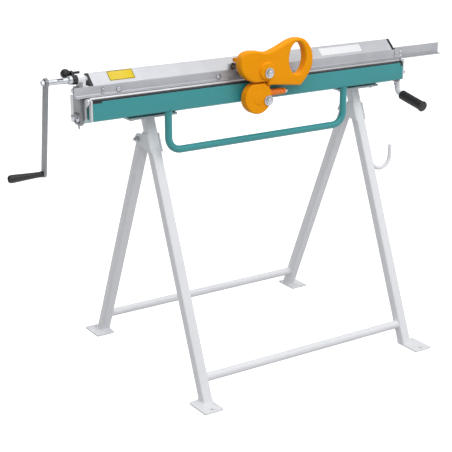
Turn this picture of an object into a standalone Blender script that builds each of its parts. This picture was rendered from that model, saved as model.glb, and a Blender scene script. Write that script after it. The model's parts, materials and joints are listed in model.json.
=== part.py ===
"""Portable sheet metal folding brake on a folding site stand.

A steel bed stands on two trestles whose rear legs fold. A hollow clamp beam with a slitter rail
presses the sheet on the bed, a lever with two eccentrics lifts it, and an apron hinged at the bend
line folds the sheet. A rolling cutter runs along the rail and tips up ahead of the apron. A cranked
slotted mandrel at the left end rolls beads.

Metres, +Z up, +X to the right along the bed, -Y towards the person who folds. The origin lies on the
floor under the middle of the whole tool.
"""

import math

import bmesh
import bpy
from mathutils import Matrix, Vector

MM = 0.001

# Clearances
GAP = 0.3 * MM              # between pieces that touch or are fastened together
RUN = 0.6 * MM              # beside pieces that slide or turn past each other
OVERRUN = 5 * MM            # how far every cutter passes the faces it cuts

# Stand: two trestles
STAND_HEIGHT = 776 * MM     # floor to the top of the top plates
TRESTLE_INSET = 176.5 * MM  # from each of the bed's ends to the legs' middles, the mean of both ends
LEG_SIZE = 30 * MM          # square tube
LEG_WALL = 2 * MM
LEG_SPREAD = 626 * MM       # between the front and rear legs' middles on the floor
LEG_SPREAD_BEHIND = 17 * MM # middle of that spread behind the stand's middle
LEG_TOP_BEHIND = 10 * MM    # front leg's middle behind the stand's middle, at the top plate
PIVOT_DROP = 72 * MM        # fold pivot below the top plate
PIVOT_BEHIND_LEG = 50 * MM  # fold pivot behind the front leg's middle, measured level
LEG_ABOVE_PIVOT = 12 * MM
TOP_PLATE_LENGTH = 155 * MM
TOP_PLATE_DEPTH = 85 * MM
TOP_PLATE_BEHIND = 12 * MM  # plate's middle behind the stand's middle
TOP_PLATE_THICK = 6 * MM
CHEEK_THICK = 4 * MM
CHEEK_RADIUS = 17 * MM
PIVOT_BOLT_RADIUS = 5 * MM
PIVOT_HEAD_RADIUS = 9.5 * MM
PIVOT_HEAD_THICK = 7 * MM
PIVOT_NUT_THICK = 9 * MM
PIVOT_THREAD_END = 6 * MM
CHEEK_SPREAD_SHARE = 1.5    # half the bracket's height in cheek radii
CROSSBAR_RADIUS = 12.5 * MM
CROSSBAR_WALL = 1.5 * MM
CROSSBAR_HEIGHT = 62 * MM
FOOT_SPREAD = 646 * MM      # between the front and rear foot plates' middles
FOOT_WIDTH = 62 * MM
FOOT_LENGTH = 87 * MM
FOOT_THICK = 5 * MM
FOOT_OUTWARD = 16 * MM      # foot plate's middle outside the leg's middle
FOOT_HOLE_RADIUS = 5 * MM
FOOT_HOLE_FROM_END = 15 * MM
MOUNT_BOLT_RADIUS = 8 * MM
MOUNT_BOLT_THICK = 6 * MM
MOUNT_BOLT_SPACING = 120 * MM
HOOK_RADIUS = 6 * MM
HOOK_HEIGHT = 534 * MM      # where the hook leaves the leg
HOOK_BEND = 37 * MM         # radius of its round bottom
HOOK_START = 215.0          # degrees round the bend where the hook leaves its root
HOOK_RISE = 36 * MM         # straight end above the bend

# Bed
BED_LENGTH = 1092 * MM      # same as the apron
BED_OFFSET = -45 * MM       # bed's middle from the stand's middle
BEND_FORWARD = 71 * MM      # bend line in front of the stand's middle
BED_PLATE_THICK = 6 * MM
BED_PLATE_DEPTH = 100 * MM
BED_BEAM_HEIGHT = 68.4 * MM
BED_BEAM_DEPTH = 91 * MM
BED_BEAM_SETBACK = 9 * MM
BED_BEAM_WALL = 4 * MM
BED_UNDERCUT_DEPTH = 46 * MM    # the beam's lower front edge is cut back by this
BED_UNDERCUT_RISE = 20 * MM
BED_END_THICK = 5.4 * MM

# Apron: the folding leaf
APRON_DEPTH = 13.7 * MM
APRON_HEIGHT = 52.7 * MM
APRON_WALL = 3 * MM
BAR_DEPTH = 12.7 * MM       # bending bar on top of the apron
BAR_THICK = 2.4 * MM
APRON_EAR_THICK = 5 * MM
HINGE_PIN_RADIUS = 3.4 * MM
APRON_EAR_RADIUS = 5.2 * MM
BED_EAR_RADIUS = 9.4 * MM
BED_EAR_DROP = 4.4 * MM
HINGE_HEAD_RADIUS = 5.5 * MM
HINGE_HEAD_THICK = 3 * MM
HANDLE_RADIUS = 9.5 * MM
HANDLE_BEND = 38 * MM
HANDLE_DROP = 115 * MM      # apron's lower edge to the handle bar's middle
HANDLE_LEFT = 241 * MM      # left upright from the apron's left end
HANDLE_WIDTH = 618 * MM
HANDLE_AXIS = 5.5 * MM      # handle's plane in front of the bend line
COLLAR_RADIUS = 11.4 * MM
COLLAR_HEIGHT = 10 * MM

# Clamp beam
CLAMP_GAP = 0.5 * MM        # nose above the bed when clamped
NOSE_THICK = 5.1 * MM
NOSE_BEVEL = 3.4 * MM
NOSE_DEPTH = 70 * MM
RAIL_WEB = 3.3 * MM
RAIL_HEIGHT = 29 * MM
RAIL_FLANGE = 3.5 * MM
RAIL_LIP = 11.8 * MM        # how far the lip stands in front of the web's rear face
RAIL_SETBACK = 3.5 * MM     # lip behind the bend line
RAIL_PAST_LEFT = 35 * MM
RAIL_PAST_RIGHT = 16 * MM
EXTENSION_WEB = 3 * MM
EXTENSION_LENGTH = 151 * MM
EXTENSION_LAP = 31 * MM
EXTENSION_RISE = 6 * MM     # extension's top above the rail's
BEAM_FRONT_HEIGHT = 29 * MM
BEAM_SLOPE_DEPTH = 31 * MM
BEAM_SLOPE_RISE = 29 * MM
BEAM_RIDGE = 5 * MM
BEAM_DEPTH = 56 * MM
BEAM_REAR_HEIGHT = 17 * MM
BEAM_WALL = 3.5 * MM
BEAM_SHORT_LEFT = 24.5 * MM     # beam's end inside the bed's end
BEAM_SHORT_RIGHT = 26 * MM
CAP_THICK = 10 * MM
BRACKET_DEPTH = 41 * MM
BRACKET_HEIGHT = 27 * MM
BRACKET_BOSS_LENGTH = 12 * MM   # round boss on the left bracket's outer face
LINK_THICK = 10 * MM
LINK_DEPTH = 41 * MM
LINK_ABOVE_BED = 31 * MM
LINK_WALL = 7 * MM          # metal under the eccentric's window
LINK_CORNER = 6 * MM
LINK_BOLT_RADIUS = 7.5 * MM
LINK_BOLT_THICK = 7 * MM
LINK_BOLT_HEIGHT = 20 * MM
LINK_BOLT_SPACING = 22 * MM
LINK_SCREW_RADIUS = 2 * MM
LINK_SCREW_LENGTH = 14 * MM
LINK_NUT_RADIUS = 4 * MM
LINK_NUT_THICK = 5 * MM
RAIL_SCREW_RADIUS = 3 * MM
RAIL_SCREW_PROUD = 2.2 * MM
BUTTON_RADIUS = 7.5 * MM
BUTTON_PROUD = 3.8 * MM
BUTTON_HEIGHT = 18 * MM
BUTTON_FIRST = 98 * MM      # first button from the bed's left end
BUTTON_SPACING = 320 * MM
BUTTON_COUNT = 3
BUTTON_DOME_SHARES = ((1.0, 0.5), (0.7, 0.9), (0.0, 1.0))   # of the radius and of the rise

# Clamp lever and its eccentric shaft
SHAFT_RADIUS = 5 * MM
SHAFT_BELOW = 48 * MM       # below the bed's top
SHAFT_PAST_LINK = 8 * MM
ECCENTRICITY = 6 * MM
ECCENTRIC_RADIUS = 12.5 * MM
ECCENTRIC_START = -40.0     # degrees above level, in front of the shaft
WINDOW_CLEARANCE = 0.5 * MM
SHAFT_NUT_RADIUS = 9 * MM
SHAFT_NUT_THICK = 8 * MM
LEVER_RADIUS = 8.5 * MM
LEVER_HUB_LENGTH = 22 * MM
LEVER_START = 13 * MM
LEVER_LOWER = 61 * MM       # shaft down to the grip
LEVER_LEAN = 3 * MM         # bend's place in front of the shaft
LEVER_BEND = 24 * MM
LEVER_GRIP_DROP = 22 * MM   # grip's fall over its length
LEVER_TUBE_END = 90 * MM     # how far the tube runs into the grip
GRIP_RADIUS = 15 * MM
GRIP_LENGTH = 104 * MM
GRIP_FLANGE = 2 * MM
GRIP_FLANGE_LENGTH = 7 * MM

# Crank and slotted mandrel
MANDREL_RADIUS = 8 * MM
MANDREL_NECK_RADIUS = 5.6 * MM   # through the crank arm
MANDREL_BEHIND = 31 * MM
MANDREL_ABOVE = 54 * MM     # above the bed's top
MANDREL_REACH = 60 * MM     # from the collar's outer face to the crank
MANDREL_INNER_END = 3 * MM  # spindle's end inside the bearing bracket's inner face
MANDREL_SLOT_LENGTH = 20 * MM
MANDREL_SLOT_WIDTH = 4.6 * MM
MANDREL_SLOT_FROM_CRANK = 25 * MM
SLOT_TILT = 48.0            # degrees
BEARING_RADIUS = 13 * MM
BUSH_LENGTH = 13 * MM
BUSH_LUG_RADIUS = 7 * MM
BUSH_LUG_THICK = 7 * MM
LOCK_COLLAR_LENGTH = 11 * MM
LOCK_COLLAR_RADIUS = 12 * MM
CRANK_LENGTH = 258 * MM
CRANK_TURN = 8.5            # degrees that its foot hangs behind the mandrel
CRANK_WIDTH = 20 * MM
CRANK_THICK = 9 * MM
CRANK_HUB_RADIUS = 13 * MM
CRANK_NUT_RADIUS = 8 * MM
CRANK_NUT_THICK = 8 * MM
CRANK_HANDLE_LENGTH = 98 * MM
CRANK_HANDLE_SMALL = 8 * MM
CRANK_HANDLE_LARGE = 11.5 * MM
HANDLE_PIN_RADIUS = 4 * MM
HANDLE_PIN_HEAD = 6.5 * MM
HANDLE_PIN_HEAD_THICK = 4 * MM
HANDLE_RECESS = 9 * MM
KNOB_RADIUS = 13 * MM
KNOB_BEHIND = 23 * MM       # knob's axis behind the mandrel's
KNOB_ABOVE = 14 * MM
KNOB_STEM_RADIUS = 3.5 * MM
KNOB_STEM_LENGTH = 29 * MM  # out of the ball, through the bush's lug

# Rolling cutter
CUTTER_AT = 545 * MM        # cutter's main bolt from the bed's left end
BODY_SETBACK = 25.5 * MM    # body's rear face in front of the bend line
BODY_DEPTH = 30 * MM
NECK_DEPTH = 13 * MM        # rear part of the body that carries the lower housing
LOWER_DEPTH = 25 * MM
BODY_LEFT = 94.5 * MM       # body's left end from the main bolt
BODY_LENGTH = 253 * MM
BODY_TOP = 117.5 * MM       # above the bed's top
THROAT_TOP = 2 * MM
THROAT_BOTTOM = -3 * MM
THROAT_END = 2 * MM
WHEEL_OFFSET = -29 * MM     # wheels' axis from the main bolt
HOUSING_RADIUS = 46 * MM
HAND_HOLE_WIDTH = 56 * MM
HAND_HOLE_HEIGHT = 94 * MM
HAND_HOLE_AT = (101 * MM, 59 * MM)
BOSS_RADIUS = 25 * MM
BOSS_DEPTH = 6 * MM
BOSS_AT = (-6 * MM, 33 * MM)
WASHER_RADIUS = 15 * MM
WASHER_THICK = 3 * MM
DOME_RADIUS = 11 * MM
DOME_HEIGHT = 10 * MM
MAIN_BOLT_AT = (-2 * MM, 28 * MM)
LOWER_BOLT_AT = (4 * MM, -54 * MM)
LOBE_RADIUS = 17 * MM
UPPER_WHEEL_RADIUS = 34 * MM
LOWER_WHEEL_RADIUS = 45 * MM
WHEEL_LAP = 0.3 * MM        # how far each wheel crosses the sheet's plane
WHEEL_THICK = 3.6 * MM
WHEEL_BORE = 7 * MM
AXLE_HEAD = 11 * MM
AXLE_HEAD_THICK = 2.4 * MM
TIP_BEHIND = 12 * MM        # tip hinge behind the bend line
TIP_HEIGHT = 62 * MM        # tip hinge above the bed's top
TIP_PIN_RADIUS = 3 * MM
BARREL_RADIUS = 6 * MM
BARREL_LENGTH = 12 * MM
LUG_RADIUS = 6 * MM
LUG_THICK = 10 * MM
LUG_LEFT = -76 * MM         # left face of the left hinge lug, from the main bolt
LUG_RIGHT = 62 * MM         # right face of the right one
ROLLER_RADIUS = 10.3 * MM
ROLLER_TREAD = 9 * MM       # radius that runs on the rail's edge
ROLLER_FLANGE = 1.4 * MM
ROLLER_WIDTH = 4.9 * MM
ROLLER_PLACES = (-79 * MM, 34 * MM)
ROLLER_SCREW = 3 * MM
ROLLER_HEAD = 5.4 * MM
ROLLER_HEAD_THICK = 2.2 * MM
CARRIAGE_THICK = 5 * MM
CARRIAGE_LOW = 42 * MM      # above the bed's top
CARRIAGE_HIGH = 54 * MM
CARRIAGE_LEFT = -88 * MM    # bar's left end, which carries the left roller
CARRIAGE_TAIL = 8 * MM      # bar's height there
SHOE_THICK = 6 * MM
SHOE_LENGTH = 20 * MM
SHOE_LOW = 27.5 * MM
SHOE_HIGH = 50 * MM
SHOE_INSIDE_ROLLER = 22 * MM
TENSION_LEVEL = 36 * MM     # tension screw below the sheet
TENSION_KNOB_RADIUS = 10 * MM
TENSION_KNOB_LENGTH = 56 * MM
TENSION_RIB = 1.4 * MM
TENSION_RIBS = 5
TENSION_END_RADIUS = 6 * MM
TENSION_END = 9 * MM
NECK_WEB = 12 * MM           # how far the body's edge runs down the neck
NECK_RIGHT = 18 * MM
NECK_LOW = 70 * MM

# Round pieces' sides
FINE = 32
COARSE = 20

# Places that follow from the sizes above
BEND_Y = -BEND_FORWARD
BED_BEAM_LOW = STAND_HEIGHT + GAP
BED_PLATE_LOW = BED_BEAM_LOW + BED_BEAM_HEIGHT + GAP
BED_TOP = BED_PLATE_LOW + BED_PLATE_THICK
BED_LEFT = BED_OFFSET - BED_LENGTH / 2
BED_RIGHT = BED_OFFSET + BED_LENGTH / 2
TRESTLE_SPACING = BED_LENGTH - 2 * TRESTLE_INSET  # between the left and right legs' middles
NOSE_TOP = CLAMP_GAP + NOSE_THICK
RAIL_LOW = NOSE_TOP + GAP
RAIL_TOP = RAIL_LOW + RAIL_HEIGHT
RAIL_WEB_REAR = -RAIL_SETBACK - RAIL_LIP
RAIL_WEB_FRONT = RAIL_WEB_REAR + RAIL_WEB
RAIL_LEFT = BED_LEFT - RAIL_PAST_LEFT
RAIL_RIGHT = BED_RIGHT + RAIL_PAST_RIGHT
EXTENSION_RIGHT = RAIL_RIGHT + EXTENSION_LENGTH
BEAM_LEFT = BED_LEFT + BEAM_SHORT_LEFT
BEAM_RIGHT = BED_RIGHT - BEAM_SHORT_RIGHT
BEAM_FRONT = RAIL_WEB_REAR - GAP
BED_END_OUTSIDE = RUN + BED_END_THICK       # bed end plate's outer face from the bed's end
LINK_INSIDE = BED_END_OUTSIDE + RUN
LINK_OUTSIDE = LINK_INSIDE + LINK_THICK
TIP_Y = BEND_Y + TIP_BEHIND
TIP_Z = BED_TOP + TIP_HEIGHT
LINK_FRONT = BEAM_FRONT - EXTENSION_WEB - GAP
WINDOW_FORWARD = LINK_FRONT - LINK_DEPTH / 2
LIFT_COSINE = math.cos(math.radians(ECCENTRIC_START))
SHAFT_FORWARD = WINDOW_FORWARD - ECCENTRICITY * (1 + LIFT_COSINE) / 2
SHAFT_Y = BEND_Y - SHAFT_FORWARD
SHAFT_Z = BED_TOP - SHAFT_BELOW
MANDREL_Y = BEND_Y + MANDREL_BEHIND
MANDREL_Z = BED_TOP + MANDREL_ABOVE
BUSH_LEFT = BED_LEFT - LINK_INSIDE - BRACKET_BOSS_LENGTH - BUSH_LENGTH
LOCK_COLLAR_LEFT = BUSH_LEFT - GAP - LOCK_COLLAR_LENGTH
CRANK_RIGHT = LOCK_COLLAR_LEFT - MANDREL_REACH
CRANK_LEFT = CRANK_RIGHT - CRANK_THICK
CRANK_HANDLE_LEFT = CRANK_LEFT - GAP - CRANK_HANDLE_LENGTH
CRANK_FOOT = (MANDREL_Y + CRANK_LENGTH * math.sin(math.radians(CRANK_TURN)),
              MANDREL_Z - CRANK_LENGTH * math.cos(math.radians(CRANK_TURN)))
BUSH_LUG_RIGHT = BUSH_LEFT + BUSH_LENGTH - GAP
KNOB_X = BUSH_LUG_RIGHT - BUSH_LUG_THICK - RUN - KNOB_RADIUS
KNOB_AXIS = (MANDREL_Y + KNOB_BEHIND, MANDREL_Z + KNOB_ABOVE)
CUTTER_X = BED_LEFT + CUTTER_AT
LOWER_WHEEL_FRONT = BODY_SETBACK - RUN
UPPER_WHEEL_FRONT = LOWER_WHEEL_FRONT - WHEEL_THICK - GAP
UPPER_WHEEL_AT = (WHEEL_OFFSET, UPPER_WHEEL_RADIUS - WHEEL_LAP)
LOWER_WHEEL_AT = (WHEEL_OFFSET, WHEEL_LAP - LOWER_WHEEL_RADIUS)
ROLLER_REAR = RAIL_WEB_REAR + GAP
ROLLER_FRONT = ROLLER_REAR + ROLLER_WIDTH
ROLLER_ABOVE = RAIL_TOP + GAP + ROLLER_TREAD
CARRIAGE_FRONT = ROLLER_REAR - RUN
BARREL_LEFT = LUG_LEFT + LUG_THICK + RUN
BARREL_RIGHT = LUG_RIGHT - LUG_THICK - RUN
FRONT_FOOT_Y = LEG_SPREAD_BEHIND - LEG_SPREAD / 2
REAR_FOOT_Y = LEG_SPREAD_BEHIND + LEG_SPREAD / 2
FRONT_LEAN = (LEG_TOP_BEHIND - FRONT_FOOT_Y) / (STAND_HEIGHT - TOP_PLATE_THICK)
PIVOT_Z = STAND_HEIGHT - TOP_PLATE_THICK - PIVOT_DROP
PIVOT_Y = LEG_TOP_BEHIND - PIVOT_DROP * FRONT_LEAN + PIVOT_BEHIND_LEG
REAR_LEAN = (REAR_FOOT_Y - PIVOT_Y) / PIVOT_Z
FRAME_SHIFT = -(CRANK_HANDLE_LEFT + EXTENSION_RIGHT) / 2


def bend(forward, above):
    """World Y and Z of a point given in front of the bend line and above the bed's top."""
    return (BEND_Y - forward, BED_TOP + above)


def depth(forward):
    """World Y of a plane in front of the bend line."""
    return BEND_Y - forward


def clear_scene():
    """Removes every object of the open scene."""
    for old in list(bpy.data.objects):
        bpy.data.objects.remove(old, do_unlink=True)


def paint(name, colour, roughness, metallic=0.0):
    """A Principled material of one colour."""
    material = bpy.data.materials.new(name)
    material.use_nodes = True
    shader = material.node_tree.nodes["Principled BSDF"]
    shader.inputs["Base Color"].default_value = (*colour, 1.0)
    shader.inputs["Roughness"].default_value = roughness
    shader.inputs["Metallic"].default_value = metallic
    material.diffuse_color = (*colour, 1.0)
    return material


PAINTS = {}
BODIES = {}


def mix_paints():
    """Every finish that the tool has."""
    PAINTS["white"] = paint("white_paint", (0.83, 0.84, 0.87), 0.4)
    PAINTS["green"] = paint("green_paint", (0.055, 0.29, 0.28), 0.42)
    PAINTS["orange"] = paint("orange_paint", (0.86, 0.35, 0.01), 0.35)
    PAINTS["aluminium"] = paint("aluminium", (0.72, 0.73, 0.76), 0.38, 1.0)
    PAINTS["zinc"] = paint("zinc_steel", (0.6, 0.61, 0.62), 0.35, 1.0)
    PAINTS["steel"] = paint("bright_steel", (0.5, 0.5, 0.52), 0.3, 1.0)
    PAINTS["dark"] = paint("blued_steel", (0.03, 0.035, 0.04), 0.45, 0.8)
    PAINTS["black"] = paint("black_plastic", (0.015, 0.015, 0.017), 0.5)


def add_body(name, parent=None, pivot=(0.0, 0.0, 0.0)):
    """An empty on a joint's axis, which carries every piece that moves with it."""
    empty = bpy.data.objects.new(f"{name}_axis", None)
    bpy.context.scene.collection.objects.link(empty)
    pivot = Vector(pivot)
    if parent is None:
        empty.location = Vector((FRAME_SHIFT, 0.0, 0.0)) + pivot
    else:
        holder, holder_pivot = BODIES[parent]
        empty.parent = holder
        empty.location = pivot - holder_pivot
    BODIES[name] = (empty, pivot)


def add_piece(name, shape, finish, body, smooth=30.0):
    """Makes an object of a bmesh that is drawn in the stand's own frame, and hangs it on its body."""
    empty, pivot = BODIES[body]
    bmesh.ops.translate(shape, vec=-pivot, verts=shape.verts)
    bmesh.ops.recalc_face_normals(shape, faces=shape.faces)
    mesh = bpy.data.meshes.new(name)
    shape.to_mesh(mesh)
    shape.free()
    if finish is not None:
        mesh.materials.append(PAINTS[finish])
    if smooth:
        mesh.shade_smooth()
        mesh.set_sharp_from_angle(angle=math.radians(smooth))
    piece = bpy.data.objects.new(name, mesh)
    bpy.context.scene.collection.objects.link(piece)
    piece.parent = empty
    return piece


def add_tool(name, shape, body):
    """A hidden cutter or joiner for a Boolean modifier."""
    tool = add_piece(name, shape, None, body)
    tool.hide_render = True
    tool.display_type = "WIRE"
    return tool


def combine(piece, tool, operation):
    """Adds an exact Boolean modifier."""
    modifier = piece.modifiers.new(operation.lower(), "BOOLEAN")
    modifier.operation = operation
    modifier.solver = "EXACT"
    modifier.object = tool


def cut(piece, name, shape, body):
    """Cuts a shape out of a piece."""
    combine(piece, add_tool(name, shape, body), "DIFFERENCE")


def join(piece, name, shape, body):
    """Joins a shape to a piece as one solid."""
    combine(piece, add_tool(name, shape, body), "UNION")


def along(axis, place, across):
    """A point at a place along an axis, with its two other coordinates in X, Y, Z order."""
    first, second = across
    points = {"X": (place, first, second), "Y": (first, place, second), "Z": (first, second, place)}
    return points[axis]


def prism(axis, outline, low, high, shape=None):
    """A closed outline stretched along an axis."""
    shape = shape or bmesh.new()
    face = shape.faces.new([shape.verts.new(along(axis, low, point)) for point in outline])
    grown = bmesh.ops.extrude_face_region(shape, geom=[face])["geom"]
    step = Vector(along(axis, high - low, (0.0, 0.0)))
    bmesh.ops.translate(shape, vec=step, verts=[v for v in grown if isinstance(v, bmesh.types.BMVert)])
    return shape


def hollow_prism(axis, outer, inner, low, high, shape=None):
    """A tube between two outlines with as many points, open at both ends."""
    shape = shape or bmesh.new()
    rings = [
        [shape.verts.new(along(axis, place, point)) for point in outline]
        for place, outline in ((low, outer), (high, outer), (high, inner), (low, inner))
    ]
    count = len(outer)
    for ring, following in zip(rings, rings[1:] + rings[:1]):
        for i in range(count):
            j = (i + 1) % count
            shape.faces.new((ring[i], ring[j], following[j], following[i]))
    return shape


def inset_outline(outline, wall):
    """The outline moved inwards by a wall, corner by corner. The outline runs anticlockwise."""
    inner = []
    count = len(outline)
    for i in range(count):
        before, here, after = (Vector(outline[k % count]) for k in (i - 1, i, i + 1))
        first, second = (here - before).normalized(), (after - here).normalized()
        normal = Vector((-first.y, first.x))
        other = Vector((-second.y, second.x))
        inner.append(tuple(here + (normal + other) * (wall / (1.0 + normal.dot(other)))))
    return inner


def arc(centre, radius, start, end, steps):
    """Points on an arc, angles in degrees from the first axis towards the second."""
    angles = [math.radians(start + (end - start) * i / steps) for i in range(steps + 1)]
    return [(centre[0] + radius * math.cos(a), centre[1] + radius * math.sin(a)) for a in angles]


def circle(centre, radius, sides):
    """A closed round outline."""
    return arc(centre, radius, 0.0, 360.0, sides)[:-1]


def rectangle(low, high):
    """A closed rectangular outline between two corners."""
    return [(low[0], low[1]), (high[0], low[1]), (high[0], high[1]), (low[0], high[1])]


def rod(axis, centre, radius, low, high, sides=COARSE, shape=None):
    """A round bar along an axis."""
    return prism(axis, circle(centre, radius, sides), low, high, shape)


def hexagon(axis, centre, radius, low, high, shape=None):
    """A six-sided bar, as on a nut or a bolt head."""
    return prism(axis, circle(centre, radius, 6), low, high, shape)


def ring(axis, centre, outer, inner, low, high, sides=FINE, shape=None):
    """A round bar with a bore."""
    return hollow_prism(axis, circle(centre, outer, sides), circle(centre, inner, sides), low, high, shape)


def turned(axis, centre, profile, sides=COARSE, shape=None):
    """A profile of (radius, place) pairs from the axis back to the axis, spun into a closed solid."""
    turned_shape = bmesh.new()
    spoke = Vector(along(axis, 0.0, (1.0, 0.0)))
    middle = Vector(along(axis, 0.0, centre))
    spine = Vector(along(axis, 1.0, (0.0, 0.0)))
    points = [turned_shape.verts.new(middle + spine * place + spoke * radius) for radius, place in profile]
    edges = [turned_shape.edges.new(pair) for pair in zip(points, points[1:])]
    bmesh.ops.spin(
        turned_shape, geom=points + edges, cent=middle, axis=spine,
        angle=math.tau, steps=sides, use_merge=True,
    )
    bmesh.ops.remove_doubles(turned_shape, verts=turned_shape.verts, dist=GAP / 1000)
    if shape is None:
        return turned_shape
    loose = bpy.data.meshes.new("turned")
    turned_shape.to_mesh(loose)
    turned_shape.free()
    shape.from_mesh(loose)
    bpy.data.meshes.remove(loose)
    return shape


def rounded_path(corners, radius, steps=6):
    """A line through corners, with each inner corner rounded."""
    points = [Vector(corners[0])]
    for before, here, after in zip(corners, corners[1:], corners[2:]):
        before, here, after = Vector(before), Vector(here), Vector(after)
        back, ahead = (before - here).normalized(), (after - here).normalized()
        half = back.angle(ahead) / 2
        middle = here + (back + ahead).normalized() * (radius / math.sin(half))
        reach = radius / math.tan(half)
        start, end = here + back * reach - middle, here + ahead * reach - middle
        turn = start.angle(end)
        for i in range(steps + 1):
            share = i / steps
            weights = (math.sin((1 - share) * turn), math.sin(share * turn))
            points.append(middle + (start * weights[0] + end * weights[1]) / math.sin(turn))
    points.append(Vector(corners[-1]))
    return points


def sweep(points, radius, normal, sides=COARSE):
    """A round bar along a path that lies in the plane with this normal."""
    shape = bmesh.new()
    normal = Vector(normal)
    rings = []
    for i, point in enumerate(points):
        ahead = (points[min(i + 1, len(points) - 1)] - points[max(i - 1, 0)]).normalized()
        spoke = normal.cross(ahead)
        rings.append([shape.verts.new(point + (spoke * a + normal * b) * radius)
                      for a, b in circle((0.0, 0.0), 1.0, sides)])
    for ring_now, following in zip(rings, rings[1:]):
        for i in range(sides):
            j = (i + 1) % sides
            shape.faces.new((ring_now[i], ring_now[j], following[j], following[i]))
    shape.faces.new(rings[0])
    shape.faces.new(rings[-1])
    return shape


def add_leg(shape, x, foot_y, slope, high):
    """One square tube that leans in the trestle's plane, cut level at both ends."""
    first = len(shape.verts)
    half = LEG_SIZE / 2
    stretch = math.hypot(1.0, slope)
    outer = rectangle((x - half, -half * stretch), (x + half, half * stretch))
    hollow_prism("Z", outer, inset_outline(outer, LEG_WALL), FOOT_THICK + GAP, high, shape)
    for vertex in list(shape.verts)[first:]:
        vertex.co.y += foot_y + slope * vertex.co.z


def trestles():
    """Names, directions and middles of the left and right trestle."""
    return (("left", -1, -TRESTLE_SPACING / 2), ("right", 1, TRESTLE_SPACING / 2))


def bed_sides():
    """Names, directions and places of the bed's two ends."""
    return (("left", -1, BED_LEFT), ("right", 1, BED_RIGHT))


def build_legs(name, body, foot_y, slope, high):
    """A pair of legs; the pair at the rear has the pivot's holes."""
    for side, _, x in trestles():
        shape = bmesh.new()
        add_leg(shape, x, foot_y, slope, high)
        leg = add_piece(f"{side}_{name}", shape, "white", body)
        if body == "rear_frame":
            low, high_end = x - LEG_SIZE / 2 - OVERRUN, x + LEG_SIZE / 2 + OVERRUN
            hole = rod("X", (PIVOT_Y, PIVOT_Z), PIVOT_BOLT_RADIUS + GAP, low, high_end)
            cut(leg, f"{side}_{name}_hole", hole, body)


def build_crossbar(name, body, foot_y, slope):
    """Round tube between the legs of a pair."""
    reach = TRESTLE_SPACING / 2 - LEG_SIZE / 2 - GAP
    centre = (foot_y + slope * CROSSBAR_HEIGHT, CROSSBAR_HEIGHT)
    shape = ring("X", centre, CROSSBAR_RADIUS, CROSSBAR_RADIUS - CROSSBAR_WALL, -reach, reach, COARSE)
    add_piece(name, shape, "white", body)


def build_feet(name, body, side):
    """A pair of flat foot plates, each with one hole; side is -1 at the front and 1 at the rear."""
    middle = side * FOOT_SPREAD / 2
    for label, outward, x in trestles():
        x += outward * FOOT_OUTWARD
        low = (x - FOOT_WIDTH / 2, middle - FOOT_LENGTH / 2)
        high = (x + FOOT_WIDTH / 2, middle + FOOT_LENGTH / 2)
        plate = prism("Z", rectangle(low, high), 0.0, FOOT_THICK)
        foot = add_piece(f"{label}_{name}", plate, "white", body)
        place = (x, middle + side * (FOOT_LENGTH / 2 - FOOT_HOLE_FROM_END))
        hole = rod("Z", place, FOOT_HOLE_RADIUS, -OVERRUN, FOOT_THICK + OVERRUN)
        cut(foot, f"{label}_{name}_hole", hole, body)


def build_top_plates():
    """Plates on the front legs' tops, with the heads of the bolts that hold the bed."""
    low = STAND_HEIGHT - TOP_PLATE_THICK
    for side, _, x in trestles():
        corner = (x - TOP_PLATE_LENGTH / 2, TOP_PLATE_BEHIND - TOP_PLATE_DEPTH / 2)
        other = (x + TOP_PLATE_LENGTH / 2, TOP_PLATE_BEHIND + TOP_PLATE_DEPTH / 2)
        slab_shape = prism("Z", rectangle(corner, other), low, STAND_HEIGHT)
        plate = add_piece(f"{side}_top_plate", slab_shape, "white", "stand")
        bolts = bmesh.new()
        for step in (-1, 1):
            place = (x + step * MOUNT_BOLT_SPACING / 2, TOP_PLATE_BEHIND - TOP_PLATE_DEPTH / 4)
            hexagon("Z", place, MOUNT_BOLT_RADIUS, low - MOUNT_BOLT_THICK, low + TOP_PLATE_THICK / 2, bolts)
        join(plate, f"{side}_bed_bolts", bolts, "stand")


def build_pivots():
    """Brackets on the front legs, which hold the rear legs' pivot bolts between two cheeks."""
    centre = (PIVOT_Y, PIVOT_Z)
    inside = LEG_SIZE / 2 + RUN
    outside = inside + CHEEK_THICK
    spread = CHEEK_RADIUS * CHEEK_SPREAD_SHARE
    low, high = PIVOT_Z - spread, PIVOT_Z + spread
    face = LEG_SIZE / 2 * math.hypot(1.0, FRONT_LEAN)
    cheek = arc(centre, CHEEK_RADIUS, -80.0, 70.0, 8) + [(leg_front(z) - face, z) for z in (high, low)]
    near, far = face + GAP, face + GAP + CHEEK_THICK
    web = [(leg_front(z) + step, z) for z, step in ((low, near), (low, far), (high, far), (high, near))]
    for side, _, x in trestles():
        cheeks = prism("X", cheek, x - outside, x - inside)
        prism("X", cheek, x + inside, x + outside, cheeks)
        bracket = add_piece(f"{side}_pivot_bracket", cheeks, "white", "stand")
        join(bracket, f"{side}_bracket_web", prism("X", web, x - inside - GAP, x + inside + GAP), "stand")
        hole = rod("X", centre, PIVOT_BOLT_RADIUS + GAP, x - outside - OVERRUN, x + outside + OVERRUN)
        cut(bracket, f"{side}_bracket_holes", hole, "stand")
        head = x + outside + GAP
        nut = x - outside - GAP
        end = nut - PIVOT_NUT_THICK - PIVOT_THREAD_END
        shank = rod("X", centre, PIVOT_BOLT_RADIUS, end, head + PIVOT_HEAD_THICK / 2)
        bolt = add_piece(f"{side}_pivot_bolt", shank, "zinc", "stand")
        nuts = hexagon("X", centre, PIVOT_HEAD_RADIUS, head, head + PIVOT_HEAD_THICK)
        hexagon("X", centre, PIVOT_HEAD_RADIUS, nut - PIVOT_NUT_THICK, nut, nuts)
        join(bolt, f"{side}_bolt_head_and_nut", nuts, "stand")


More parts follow.
